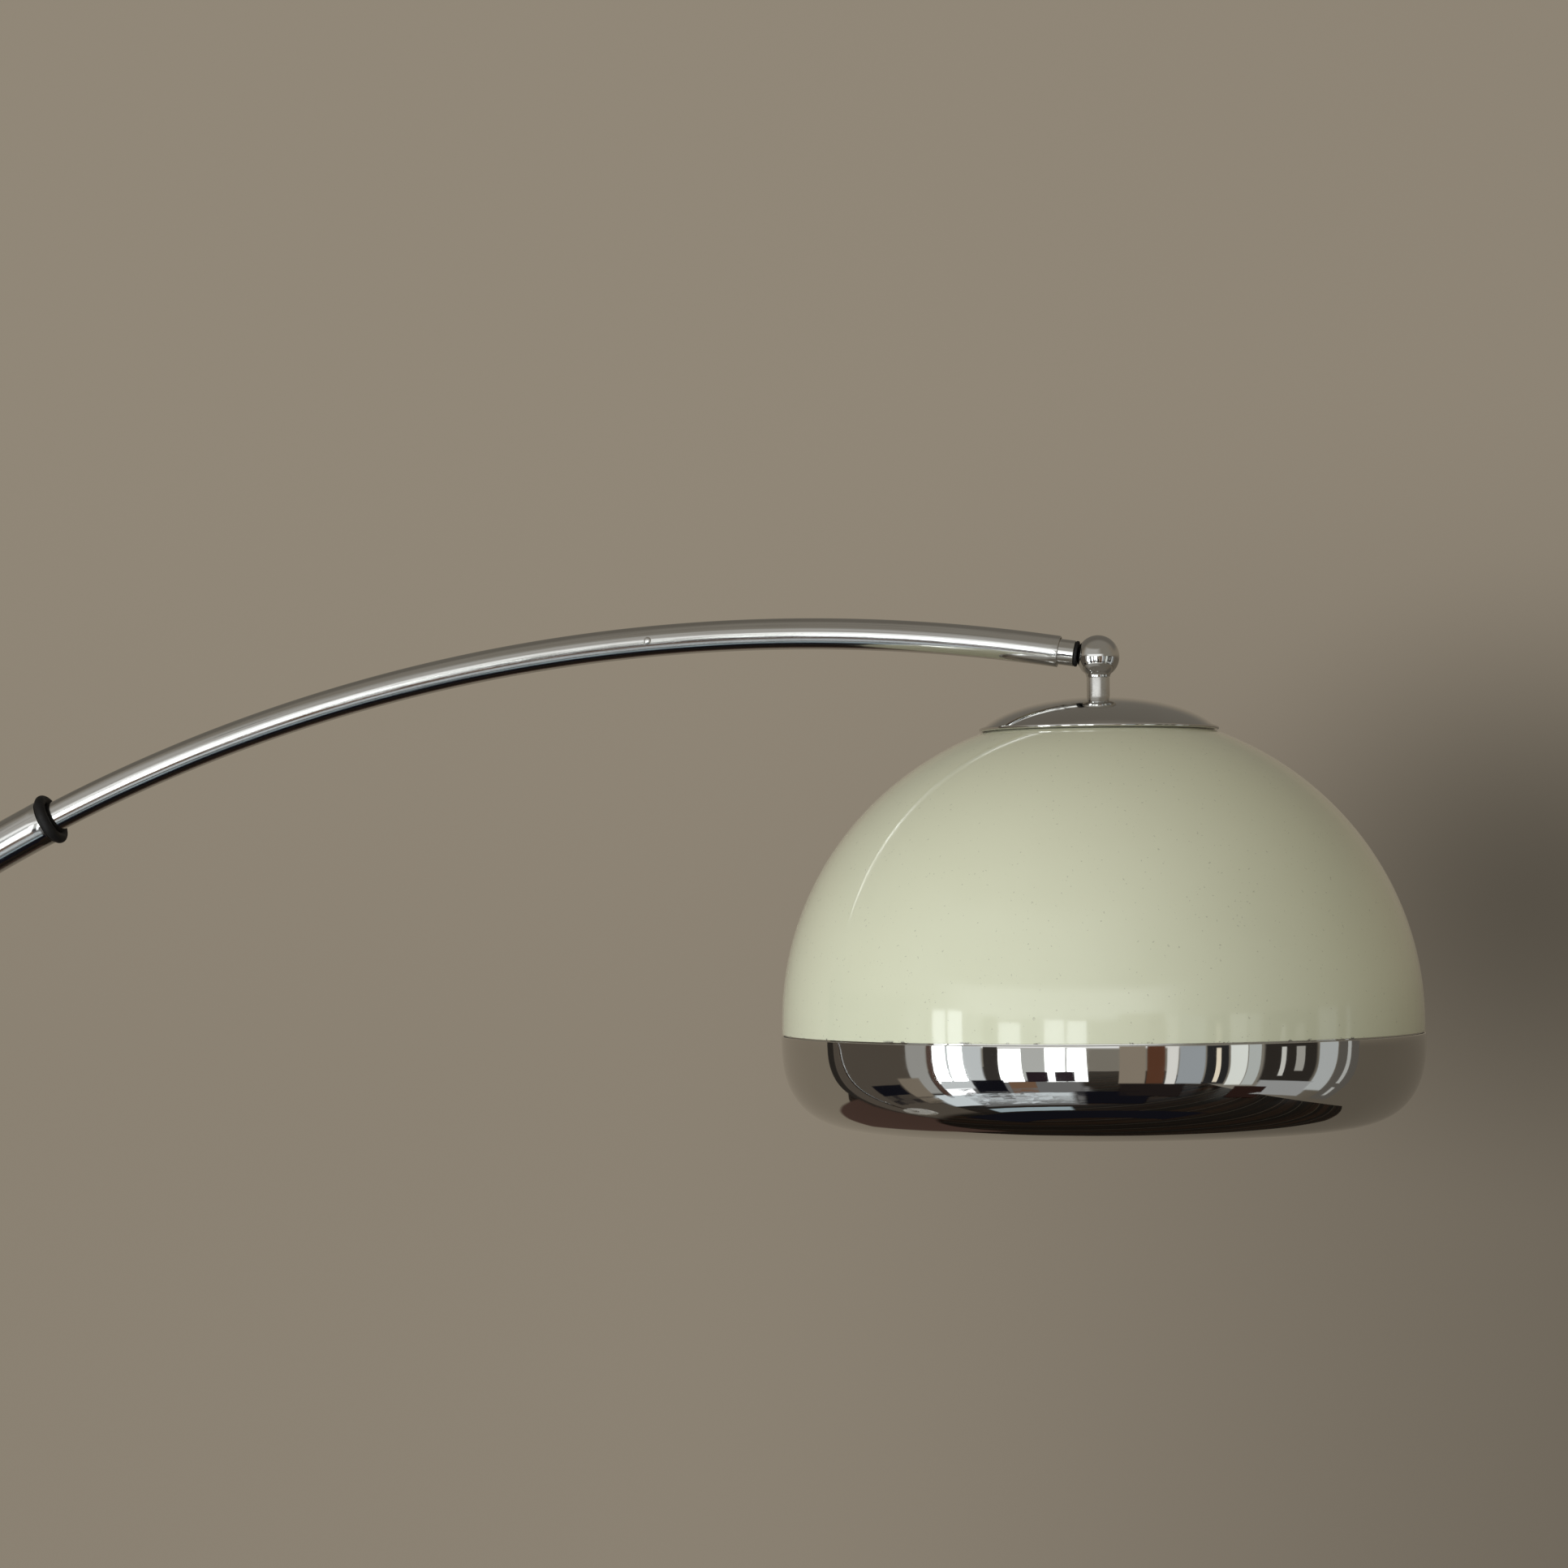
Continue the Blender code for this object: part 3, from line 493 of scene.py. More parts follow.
def threadTree():  # one rounded ridge wound about the Z axis
    tree, given = newTree("screwThread", {
        "Radius": "Float", "Pitch": "Float", "Turns": "Float",
        "Ridge": "Float", "Finish": "Material",
    })
    coil = addNode(tree, "GeometryNodeCurveSpiral", {
        "Resolution": 28, "Rotations": given["Turns"], "Start Radius": given["Radius"],
        "End Radius": given["Radius"], "Height": calc(tree, "MULTIPLY", given["Turns"], given["Pitch"]),
    }).outputs[0]
    ridge = addNode(tree, "GeometryNodeCurvePrimitiveCircle", {"Resolution": 8, "Radius": given["Ridge"]})
    skin = addNode(tree, "GeometryNodeCurveToMesh", {
        "Curve": coil, "Profile Curve": ridge.outputs[0], "Fill Caps": True,
    }).outputs[0]
    return closeTree(tree, skin, given["Finish"])


trees = {"tube": bentTubeTree(), "flutes": fluteTree(), "thread": threadTree()}
print("node trees built")


# Shade

shadeSizes = dict(radius=200.0, rise=193.0, skirt=8.0, wall=1.2, hole=8.0, sides=192)
bandSizes = dict(proud=0.6, depth=59.0, corner=140.0, power=2.7, mouth=146.0, lip=2.4, wall=1.2, gap=0.7,
                 neck=10.0, drop=0.3, lastTurn=87.0)
capSizes = dict(middle=-56.2, spread=78.7, rise=31.0, edge=73.8, bead=1.3, edgeHeight=-45.5, wall=1.0, hole=7.7,
                sides=160)
shadePlace = Matrix.Translation(ballMiddle)


def makeDome(size):
    middle = (0, seam + size["skirt"])
    top = math.degrees(math.acos(size["hole"] / size["radius"]))
    outer = arcOutline(middle, (size["radius"], size["rise"]), 0, top, 64)
    inner = arcOutline(middle, (size["radius"] - size["wall"], size["rise"] - size["wall"]), top, 0, 64)
    lip = [(size["radius"] - size["wall"], seam, 0.5), (size["radius"], seam, 0.5)]
    dome = turnPiece("creamDome", softOutline(lip + outer + inner), size["sides"], shadePlace, "creamEnamel",
                     "shade", "cream_enamel", "shade_dome")
    coat = dome.data.attributes.new("insideCoat", "FLOAT", "POINT")
    limit = (size["radius"] - size["wall"] / 2) / size["radius"]
    for vertex, entry in zip(dome.data.vertices, coat.data):
        spot = (vertex.co - ballMiddle) / mm
        height = max(spot.z - middle[1], 0.0) / size["rise"]
        entry.value = float(math.hypot(spot.xy.length / size["radius"], height) < limit)


def bandSide(size, inward, steps):
    points, bend = [], 2 / size["power"]
    for k in range(steps + 1):
        turn = math.radians(size["lastTurn"] * k / steps)
        across = (shadeSizes["radius"] + size["proud"] - size["corner"] - inward) * math.cos(turn) ** bend
        down = (size["depth"] - inward) * math.sin(turn) ** bend
        points.append((size["corner"] + across, seam - size["drop"] - down))
    return points


def makeBand(size):
    neck = shadeSizes["radius"] - shadeSizes["wall"] - 0.4
    top = seam - size["gap"]
    side = bandSide(size, 0.0, 48)
    inside = bandSide(size, size["wall"], 40)
    outline = softOutline([(neck - size["wall"], seam + size["neck"], 0.4), (neck, seam + size["neck"], 0.4),
                           (neck, top, 0.1), (side[0][0], top, 0.45), (side[2][0], side[2][1])])
    outline = outline[:-1] + [point for point in side[1:-1] if point[1] < top - 0.6]
    rim = (size["mouth"], seam - size["drop"] - size["depth"] + size["lip"])
    outline += arcOutline(rim, (size["lip"],) * 2, 270, 90, 14)
    outline += [point for point in inside[-2:0:-1] if point[1] < top - 2.0]
    outline += [(inside[0][0], top - 1.5), (neck - size["wall"], top - 1.5)]
    turnPiece("chromeBand", outline, shadeSizes["sides"], shadePlace, "bandChrome", "shade", "chrome",
              "chrome_band")


def makeCap(size):
    def height(across):
        return size["middle"] + size["rise"] * math.sqrt(1 - (across / size["spread"]) ** 2)
    reach = size["edge"] - size["wall"] - size["hole"]
    spread = [size["hole"] + reach * (1 - (1 - k / 40) ** 1.5) for k in range(41)]
    outline = [(across, height(across)) for across in spread]
    outline += arcOutline((size["edge"], size["edgeHeight"]), (size["bead"],) * 2, 60, -150, 14)
    outline += [(across, height(across) - size["wall"]) for across in spread[-2::-1]]
    turnPiece("domeCap", outline, size["sides"], shadePlace, "capChrome", "shade", "chrome", "top_cap")


makeDome(shadeSizes)
makeBand(bandSizes)
makeCap(capSizes)
print("shade made")


# Ball joint

jointSizes = dict(ball=13.5, bore=9.5, neckTop=9.3, stem=7.25, slot=3.4, slotFrom=4.0, slotTo=20.0, sleeve=8.2,
                  groove=6.8, seatFace=12.6)


def makeBall(size):
    start = -math.degrees(math.acos(size["neckTop"] / size["ball"]))
    shoulder = size["ball"] * math.sin(math.radians(start))
    outline = [(size["stem"] + 0.25, -12.9), (size["stem"] + 0.3, shoulder - 2.0),
               (size["stem"] + 0.9, shoulder - 0.9)]
    outline += arcOutline((0, 0), (size["ball"],) * 2, start, 90, 40)[:-1] + [(0, size["ball"])]
    inner = -math.degrees(math.acos(5.8 / size["bore"]))
    outline += [(0, size["bore"])] + arcOutline((0, 0), (size["bore"],) * 2, 90, inner, 24)[1:] + [(5.8, -12.9)]
    mesh = latheMesh(outline, 96, shadePlace)
    host, cutter = newObject("ballHost", mesh), newObject("ballSlot", slotMesh(size))
    boolean = host.modifiers.new("slot", "BOOLEAN")
    boolean.object = cutter
    boolean.solver = "EXACT"
    cut = plainMesh(host)
    for thing in (host, cutter):
        bpy.data.objects.remove(thing)
    newPiece("ball", cut, "fittingChrome", "shade", "chrome", "ball")


def slotMesh(size):  # the fan swept by the draw bolt as the shade tilts
    tilt = joints["shade_tilt"]["range_deg"]
    rest = math.degrees(math.atan2(-armAlong.z, armAlong.x))
    start, end = rest - tilt[1] - 20.0, rest - tilt[0] + 20.0
    bm = bmesh.new()
    fan = [(size["slotFrom"], start)]
    fan += [(size["slotTo"], start + (end - start) * k / 12) for k in range(13)]
    fan += [(size["slotFrom"], end)]
    front = []
    for radius, angle in fan:
        turn = math.radians(angle)
        front.append(bm.verts.new((-radius * math.cos(turn), -size["slot"], radius * math.sin(turn))))
    face = bm.faces.new(front)
    grown = bmesh.ops.extrude_face_region(bm, geom=[face])["geom"]
    pushed = [part for part in grown if isinstance(part, bmesh.types.BMVert)]
    bmesh.ops.translate(bm, vec=(0, 2 * size["slot"], 0), verts=pushed)
    bmesh.ops.recalc_face_normals(bm, faces=bm.faces)
    bm.transform(shadePlace @ Matrix.Scale(mm, 4))
    mesh = bpy.data.meshes.new("slot")
    bm.to_mesh(mesh)
    bm.free()
    return mesh


def makeStem(size):
    outline = softOutline([
        (4.0, -9.7), (5.4, -9.7, 0.3), (5.4, -13.2), (size["stem"], -13.2, 0.2), (size["stem"], -54, 0.5),
        (4.0, -54),
    ])
    turnPiece("stem", outline, 96, shadePlace, "dullChrome", "shade", "chrome", "stem")


def makeSleeve(size):
    place = facing(-armAlong, ballMiddle)
    wide, groove = size["sleeve"], size["groove"]
    outline = softOutline([
        (3.4, 14.7), (wide, 14.7, 0.5), (wide, 33.5), (groove, 33.5), (groove, 38.5), (wide, 38.5),
        (wide, 46, 0.4), (3.4, 46),
    ])
    turnPiece("endSleeve", outline, 96, place, "fittingChrome", "swivel", "chrome", "end_sleeve")
    reach = size["ball"] + 0.3
    cup = math.sqrt(reach ** 2 - size["seatFace"] ** 2)
    outline = [(3.6, 14.4), (wide - 0.1, 14.4, 0.4), (wide - 0.1, size["seatFace"], 0.5),
               (cup, size["seatFace"])]
    outline += [(across, math.sqrt(reach ** 2 - across ** 2)) for across in (4.9, 4.3, 3.6)]
    turnPiece("frictionSeat", softOutline(outline), 72, place, "blackRubber", "swivel", "rubber",
              "friction_seat")


makeBall(jointSizes)
makeStem(jointSizes)
makeSleeve(jointSizes)
print("ball joint made")


# Arm

armSizes = dict(
    thick=15.0, thickWall=1.5, thin=10.0, thinWall=1.2, mouth=-26.05, foot=-90.0, innerEnd=-44.71, tip=9.29,
    rivet=-4.2, ringCord=3.5, ringInner=10.2, ringGap=0.3,
)
arcRadius = arcMiddle.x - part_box("post_tube")[0].x - (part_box("post_tube")[1].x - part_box("post_tube")[0].x) / 2


def arcSpot(angle):
    turn = math.radians(angle)
    return arcMiddle + arcRadius * Vector((math.sin(turn), 0, math.cos(turn)))


def makeTube(name, body, node, start, end, leg, radius, wall, rings):
    values = {
        "Leg": leg, "Arc Radius": arcRadius, "Start Turn": math.radians(start + 90),
        "Arc Length": math.radians(end - start) * arcRadius, "Tube Radius": radius * mm, "Middle": arcMiddle,
        "Rings": rings, "Sides": 64, "Finish": finishes["armChrome"],
    }
    wallIn = ("SOLIDIFY", dict(thickness=wall * mm, offset=-1.0))
    softEnds = ("BEVEL", dict(width=0.35 * mm, segments=3, limit_method="ANGLE", angle_limit=math.radians(50)))
    mesh = growMesh(trees["tube"], values, extras=(wallIn, softEnds))
    newPiece(name, mesh, "armChrome", body, "chrome", node, sharp=50.0)


def makeArm(size):
    leg = arcMiddle.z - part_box("lower_arc")[0].z
    makeTube("lowerArc", "lower_arc", "lower_arc", size["foot"], size["mouth"], leg, size["thick"],
             size["thickWall"], 220)
    makeTube("upperArc", "upper_arc", "upper_arc", size["innerEnd"], size["tip"], 0.0, size["thin"],
             size["thinWall"], 160)
    cord = size["ringCord"]
    away = math.degrees((cord + size["ringGap"]) * mm / arcRadius)
    place = facing(arcSpot(size["mouth"] + away + 90) - arcMiddle, arcSpot(size["mouth"] + away))
    outline = arcOutline((size["ringInner"] + cord, 0), (cord, cord), 0, 352.5, 47)
    turnPiece("mouthRing", outline, 96, place, "blackRubber", "lower_arc", "rubber", "mouth_ring")
    place = facing((0, -1, 0), arcSpot(size["rivet"]))
    outline = [(0, 7.6), (1.4, 7.6), (1.4, 9.9), (2.3, 9.9)] + arcOutline((0, 9.7), (2.4, 1.2), 20, 90, 8)[:-1]
    outline += [(0, 10.9)]
    turnPiece("stopRivet", outline, 40, place, "dullChrome", "upper_arc", "chrome", "stop_rivet")


makeArm(armSizes)
print("arm made")


# Post and its clamp

postSizes = dict(outer=19.0, inner=17.0, bottom=124.0, top=640.0, collarLow=612.0, collarTop=666.0)
knobSizes = dict(height=653.5, grooves=10.0, grooveDepth=1.5, gripFrom=34.8, gripTo=60.0, rim=15.4, screw=3.75,
                 pitch=1.25, turns=14.0, ridge=0.3, threadFrom=19.4)


def makePost(size):
    outline = softOutline([(size["inner"], size["bottom"]), (size["outer"], size["bottom"], 0.5),
                           (size["outer"], size["top"], 0.5), (size["inner"], size["top"])])
    turnPiece("postTube", outline, 96, upright, "fittingChrome", "post", "chrome", "post_tube")
    bore, low, top = 15.5, size["collarLow"], size["collarTop"]
    outline = softOutline([
        (19.3, low), (23.6, low, 0.8), (25, low + 2, 1.2), (25, low + 9, 0.3), (24.3, low + 9.6, 0.3),
        (24.3, low + 11.0, 0.3), (25, low + 11.6, 0.3), (25, top - 6, 2.5), (22, top, 1.5), (bore, top, 0.5),
        (bore, size["top"] + 1), (19.3, size["top"] + 1),
    ])
    turnPiece("heightCollar", outline, 128, upright, "fittingChrome", "post", "chrome", "height_collar")


def makeKnob(size):
    place = facing((-1, 0, 0), (0, 0, size["height"] * mm))
    grip = softOutline([
        (4.3, 29, 0.3), (8, 29, 0.8), (8, 34, 1.0), (14.6, 35.2, 1.2), (15.4, 37.5, 1.0), (15.4, 46, 1.2),
        (13, 48.8, 1.5), (9, 49.6, 0.5), (8, 49.1, 0.5), (0, 49.4), (0, 40.3), (4.3, 40.3),
    ])
    mesh = growMesh(trees["flutes"], {
        "Count": size["grooves"], "Depth": size["grooveDepth"] * mm, "From": size["gripFrom"] * mm,
        "To": size["gripTo"] * mm, "Rim": size["rim"] * mm, "Finish": finishes["mouldedBlack"],
    }, seedMesh=latheMesh(grip, 160, upright))
    mesh.transform(place)
    newPiece("heightKnob", mesh, "mouldedBlack", "height_knob", "black_plastic", "height_knob")
    outline = softOutline([(0, 18.4), (size["screw"], 18.4, 0.5), (size["screw"], 40.0, 0.3), (0, 40.0)])
    shank = latheMesh(outline, 48, place)
    ridge = growMesh(trees["thread"], {
        "Radius": size["screw"] * mm, "Pitch": size["pitch"] * mm, "Turns": size["turns"],
        "Ridge": size["ridge"] * mm, "Finish": finishes["plainSteel"],
    })
    ridge.transform(place @ Matrix.Translation((0, 0, size["threadFrom"] * mm)))
    newPiece("clampScrew", joinMeshes(shank, ridge), "plainSteel", "height_knob", "steel", "clamp_screw")


makePost(postSizes)
makeKnob(knobSizes)
print("post made")


# Foot

footSizes = dict(radius=190.0, bottom=3.3, top=115.0, edge=8.0, bore=12.5, recess=45.0, recessTop=28.0,
                 felt=178.0, feltTop=3.0, inlet=8.6)


def makeFoot(size):
    outline = softOutline([
        (size["recess"], size["bottom"]), (size["radius"], size["bottom"], 2.0),
        (size["radius"], size["top"], size["edge"]), (size["bore"], size["top"], 0.5),
        (size["bore"], size["recessTop"]), (size["recess"], size["recessTop"]),
    ], 10)
    turnPiece("marbleFoot", outline, 192, upright, "whiteMarble", "foot", "marble", "marble_foot")
    felt, thick = size["felt"], size["feltTop"]
    outline = softOutline([(0, 0), (felt, 0, 0.8), (felt, thick, 0.8), (0, thick)])
    turnPiece("feltPad", outline, 144, upright, "darkFelt", "foot", "felt", "felt_pad")
    low = size["top"] + 0.3
    outline = [(37.5, low), (40, low, 0.4), (40, 118.3, 0.6)] + arcOutline((24, 118.5), (14, 16.3), 12, 86, 18)
    outline += [(19.6, 135, 0.5), (19.6, 133.4), (24, 133.2)] + arcOutline((24, 118.5), (12.2, 14.5), 80, 8, 12)
    outline = softOutline(outline)
    turnPiece("footRose", outline, 128, upright, "fittingChrome", "foot", "chrome", "foot_rose")
    place = facing((-1, 0, 0), (0, 0, size["inlet"] * mm))
    outline = softOutline([(3.2, 172), (4.9, 172), (4.9, 190.5), (5.3, 190.5), (5.3, 193, 0.8), (3.2, 193, 0.4)])
    turnPiece("inletBush", outline, 48, place, "mouldedBlack", "foot", "black_plastic", "inlet_bush")


makeFoot(footSizes)
print("foot made")


# Lamp holder and bulb

holderSizes = dict(bore=7.6, ring=23.3, ringLow=-102.0, ringTop=-94.0, grooves=30.0, grooveDepth=0.6)
bulbSizes = dict(wall=0.9, sphere=30.0, middle=-167.0, thread=12.4, pitch=3.6, turns=5.0, ridge=0.6,
                 threadFrom=-109.5)


def makeHolder(size):
    bore, ring, low, top = size["bore"], size["ring"], size["ringLow"], size["ringTop"]
    outline = softOutline([(bore, -49), (15, -49, 2.0), (21, -57, 3.0), (21, -84, 0.4), (19.8, -84),
                           (19.8, -57.5), (14.5, -50.4), (bore, -50.4)])
    turnPiece("holderCover", outline, 96, shadePlace, "mouldedBlack", "shade", "black_plastic", "holder_cover")
    outline = softOutline([(3.2, -60), (19.4, -60), (19.4, -112, 0.8), (14.4, -112, 0.5), (14.4, -84),
                           (3.2, -84)])
    turnPiece("holderBody", outline, 96, shadePlace, "mouldedBlack", "shade", "black_plastic", "holder_body")
    outline = softOutline([(19.8, low, 0.3), (ring, low, 0.8), (ring, top, 0.8), (19.8, top, 0.3)])
    mesh = growMesh(trees["flutes"], {
        "Count": size["grooves"], "Depth": size["grooveDepth"] * mm, "From": (low + 0.8) * mm,
        "To": (top - 0.8) * mm, "Rim": ring * mm, "Finish": finishes["mouldedBlack"],
    }, seedMesh=latheMesh(outline, 240, upright))
    mesh.transform(shadePlace)
    newPiece("holderRing", mesh, "mouldedBlack", "shade", "black_plastic", "holder_ring")


def makeBulb(size):
    wall, sphere, middle = size["wall"], size["sphere"], size["middle"]
    neck = [(12.0, -112.0), (12.1, -116), (12.6, -121), (13.8, -126.5), (16.0, -133), (19.0, -140)]
    outer = neck + arcOutline((0, middle), (sphere,) * 2, 43, -90, 40)[:-1] + [(0, middle - sphere)]
    inner = [(across - wall, height) for across, height in neck]
    inner += arcOutline((0, middle), (sphere - wall,) * 2, 43, -90, 32)[:-1] + [(0, middle - sphere + wall)]
    turnPiece("bulbGlass", outer + inner[::-1], 96, shadePlace, "opalGlass", "shade", "opal_glass", "bulb_glass")
    outline = softOutline([(0, -86.4), (5, -86.4, 0.5), (9, -88.5, 1.0), (12.5, -89.5, 0.5), (12.5, -111.6, 0.3),
                           (0, -111.6)])
    cap = latheMesh(outline, 64, shadePlace)
    ridge = growMesh(trees["thread"], {
        "Radius": size["thread"] * mm, "Pitch": size["pitch"] * mm, "Turns": size["turns"],
        "Ridge": size["ridge"] * mm, "Finish": finishes["turnedBrass"],
    })
    ridge.transform(shadePlace @ Matrix.Translation((0, 0, size["threadFrom"] * mm)))
    newPiece("bulbCap", joinMeshes(cap, ridge), "turnedBrass", "shade", "brass", "bulb_cap")


makeHolder(holderSizes)
makeBulb(bulbSizes)
print("holder and bulb made")


# Pieces that keep their frame shape

slotOf = {entry["node"]: entry["material_slot"] for entry in frame["record"]["subparts"]}
for name, node in nodes.items():
    for entry in node.material_slots:
        entry.material = finishes[slotFinish[slotOf[name]]]
print("frame pieces finished")


# Camera, floor and lights

shotSizes = dict(heading=11.0, right=0.1975, ahead=2.5418, below=0.1413, pitch=1.422, roll=0.509, lens=93.17)


def shotWays():  # level directions to the camera's right and straight ahead
    turn = math.radians(shotSizes["heading"])
    return Vector((math.cos(turn), math.sin(turn), 0)), Vector((-math.sin(turn), math.cos(turn), 0))


def placeCamera(size):
    turn = math.radians(size["heading"])
    right, ahead = shotWays()
    camera = newObject("shot", bpy.data.cameras.new("shot"))
    camera.data.lens = size["lens"]
    camera.data.sensor_width = 36.0
    camera.location = ballMiddle - size["right"] * right - size["ahead"] * ahead - Vector((0, 0, size["below"]))
    look = Matrix.Rotation(turn, 4, "Z") @ Matrix.Rotation(math.radians(90 + size["pitch"]), 4, "X")
    camera.rotation_euler = (look @ Matrix.Rotation(math.radians(-size["roll"]), 4, "Z")).to_euler()
    bpy.context.scene.camera = camera


def headingSpot(heading, elevation, distance):  # heading 0 is the camera's side, growing to the right
    turn, rise = math.radians(heading + shotSizes["heading"]), math.radians(elevation)
    middle = ballMiddle + Vector((0, 0, seam * mm))
    return middle + distance * Vector((math.sin(turn) * math.cos(rise), -math.cos(turn) * math.cos(rise),
                                       math.sin(rise)))


def addPanel(name, left, right, low, high, glow, colour, distance=3.6, shiny=True):  # a soft light out of view
    spot = headingSpot((left + right) / 2, (low + high) / 2, distance)
    light = bpy.data.lights.new(name, "AREA")
    light.shape = "RECTANGLE"
    slim = math.cos(math.radians((low + high) / 2))
    light.size = 2 * distance * math.tan(math.radians(right - left) / 2) * slim
    light.size_y = 2 * distance * math.tan(math.radians(high - low) / 2)
    light.energy = glow * math.pi * light.size * light.size_y
    light.color = colour
    panel = newObject(name, light)
    panel.location = spot
    aim = headingSpot(0, 0, 0) - spot
    panel.rotation_euler = aim.to_track_quat("-Z", "Y").to_euler()
    panel.visible_camera = False
    panel.visible_glossy = shiny


def addCard(name, left, right, low, high, colour, soft=0.002, distance=3.7):  # a card seen only in reflections
    clearance, facet = 0.02, 12  # a low card bends forward to stay over the floor
    drop = ballMiddle.z + seam * mm - clearance
    count = max(2, math.ceil((right - left) / facet), math.ceil((high - low) / facet))
    steps = [k / count for k in range(count + 1)]
    points = []
    for up in steps:
        rise = low + (high - low) * up
        reach = min(distance, drop / math.sin(math.radians(-rise))) if rise < 0 else distance
        points += [headingSpot(left + (right - left) * along, rise, reach) for along in steps]
    row = count + 1
    quads = [(k * row + i, k * row + i + 1, (k + 1) * row + i + 1, (k + 1) * row + i)
             for k in range(count) for i in range(count)]
    mesh = bpy.data.meshes.new(name)
    mesh.from_pydata(points, [], quads)
    layer = mesh.uv_layers.new(name="card")
    for loop, entry in zip(mesh.loops, layer.data):
        entry.uv = (steps[loop.vertex_index % row], steps[loop.vertex_index // row])
    card = newObject(name, mesh)
    material = bpy.data.materials.new(name)
    material.use_nodes = True
    tree = material.node_tree
    tree.nodes.clear()
    part = split(tree, addNode(tree, "ShaderNodeUVMap").outputs[0])
    edges = [calc(tree, "MINIMUM", value, calc(tree, "SUBTRACT", 1.0, value)) for value in (part[0], part[1])]
    fade = smoothStep(tree, calc(tree, "MINIMUM", *edges), 0.0, soft)
    glow = addNode(tree, "ShaderNodeEmission", {"Color": (*colour, 1.0), "Strength": 1.0}).outputs[0]
    clear = addNode(tree, "ShaderNodeBsdfTransparent").outputs[0]
    mixed = addNode(tree, "ShaderNodeMixShader", {0: fade, 1: clear, 2: glow}).outputs[0]
    addNode(tree, "ShaderNodeOutputMaterial", {"Surface": mixed})
    mesh.materials.append(material)
    hideFromView(card)


def hideFromView(card):
    card.visible_camera = False
    card.visible_shadow = False
    card.visible_diffuse = False


def makeFloor(size):
    mesh = bpy.data.meshes.new("floor")
    bm = bmesh.new()
    bmesh.ops.create_circle(bm, cap_ends=True, segments=96, radius=size["edge"])
    bm.to_mesh(mesh)
    bm.free()
    floor = newObject("floor", mesh)
    floor.location = (0, 0, size["height"])
    material, tree, shader = newMaterial("floor", {"Base Color": (*size["colour"], 1), "Roughness": 0.7})
    away = vectorCalc(tree, "LENGTH", objectSpot(tree), output="Value")
    fade = smoothStep(tree, away, size["solid"], size["edge"])
    clear = addNode(tree, "ShaderNodeBsdfTransparent").outputs[0]
    mixed = addNode(tree, "ShaderNodeMixShader", {0: fade, 1: shader.outputs[0], 2: clear}).outputs[0]
    tree.links.new(mixed, tree.nodes["Material Output"].inputs["Surface"])
    mesh.materials.append(material)
    floor.visible_glossy = False


def makeBoard(size):  # a dark board just under the floor is what the chrome sees below
    side, ahead = shotWays()
    reach, right, behind = size["reach"], size["right"], size["behind"]
    spans = ((-reach, -reach), (right, -reach), (right, size["near"]), (size["corner"], behind),
             (-reach, behind))
    corners = [ballMiddle + side * across + ahead * deep for across, deep in spans]
    mesh = bpy.data.meshes.new("darkBoard")
    mesh.from_pydata([(spot[0], spot[1], size["height"]) for spot in corners], [], [range(len(corners))])
    board = newObject("darkBoard", mesh)
    material, tree, shader = newMaterial("darkBoard", {"Roughness": 0.3})
    part = split(tree, objectSpot(tree))
    across = calc(tree, "ADD", part[1], calc(tree, "MULTIPLY", part[0], size["slant"]))
    planks = ringNoise(tree, across, 4.0, 3.0)
    colour = blendColour(tree, remap(tree, planks, 0.45, 0.60), size["dark"], size["light"])
    line = calc(tree, "FRACT", calc(tree, "MULTIPLY", across, size["lines"]))
    line = calc(tree, "ABSOLUTE", calc(tree, "SUBTRACT", line, 0.5))
    colour = blendColour(tree, remap(tree, line, 0.035, 0.02, 0.0, 0.8), colour, size["line"])
    plug(tree, shader, colour=colour)
    mesh.materials.append(material)
    hideFromView(board)


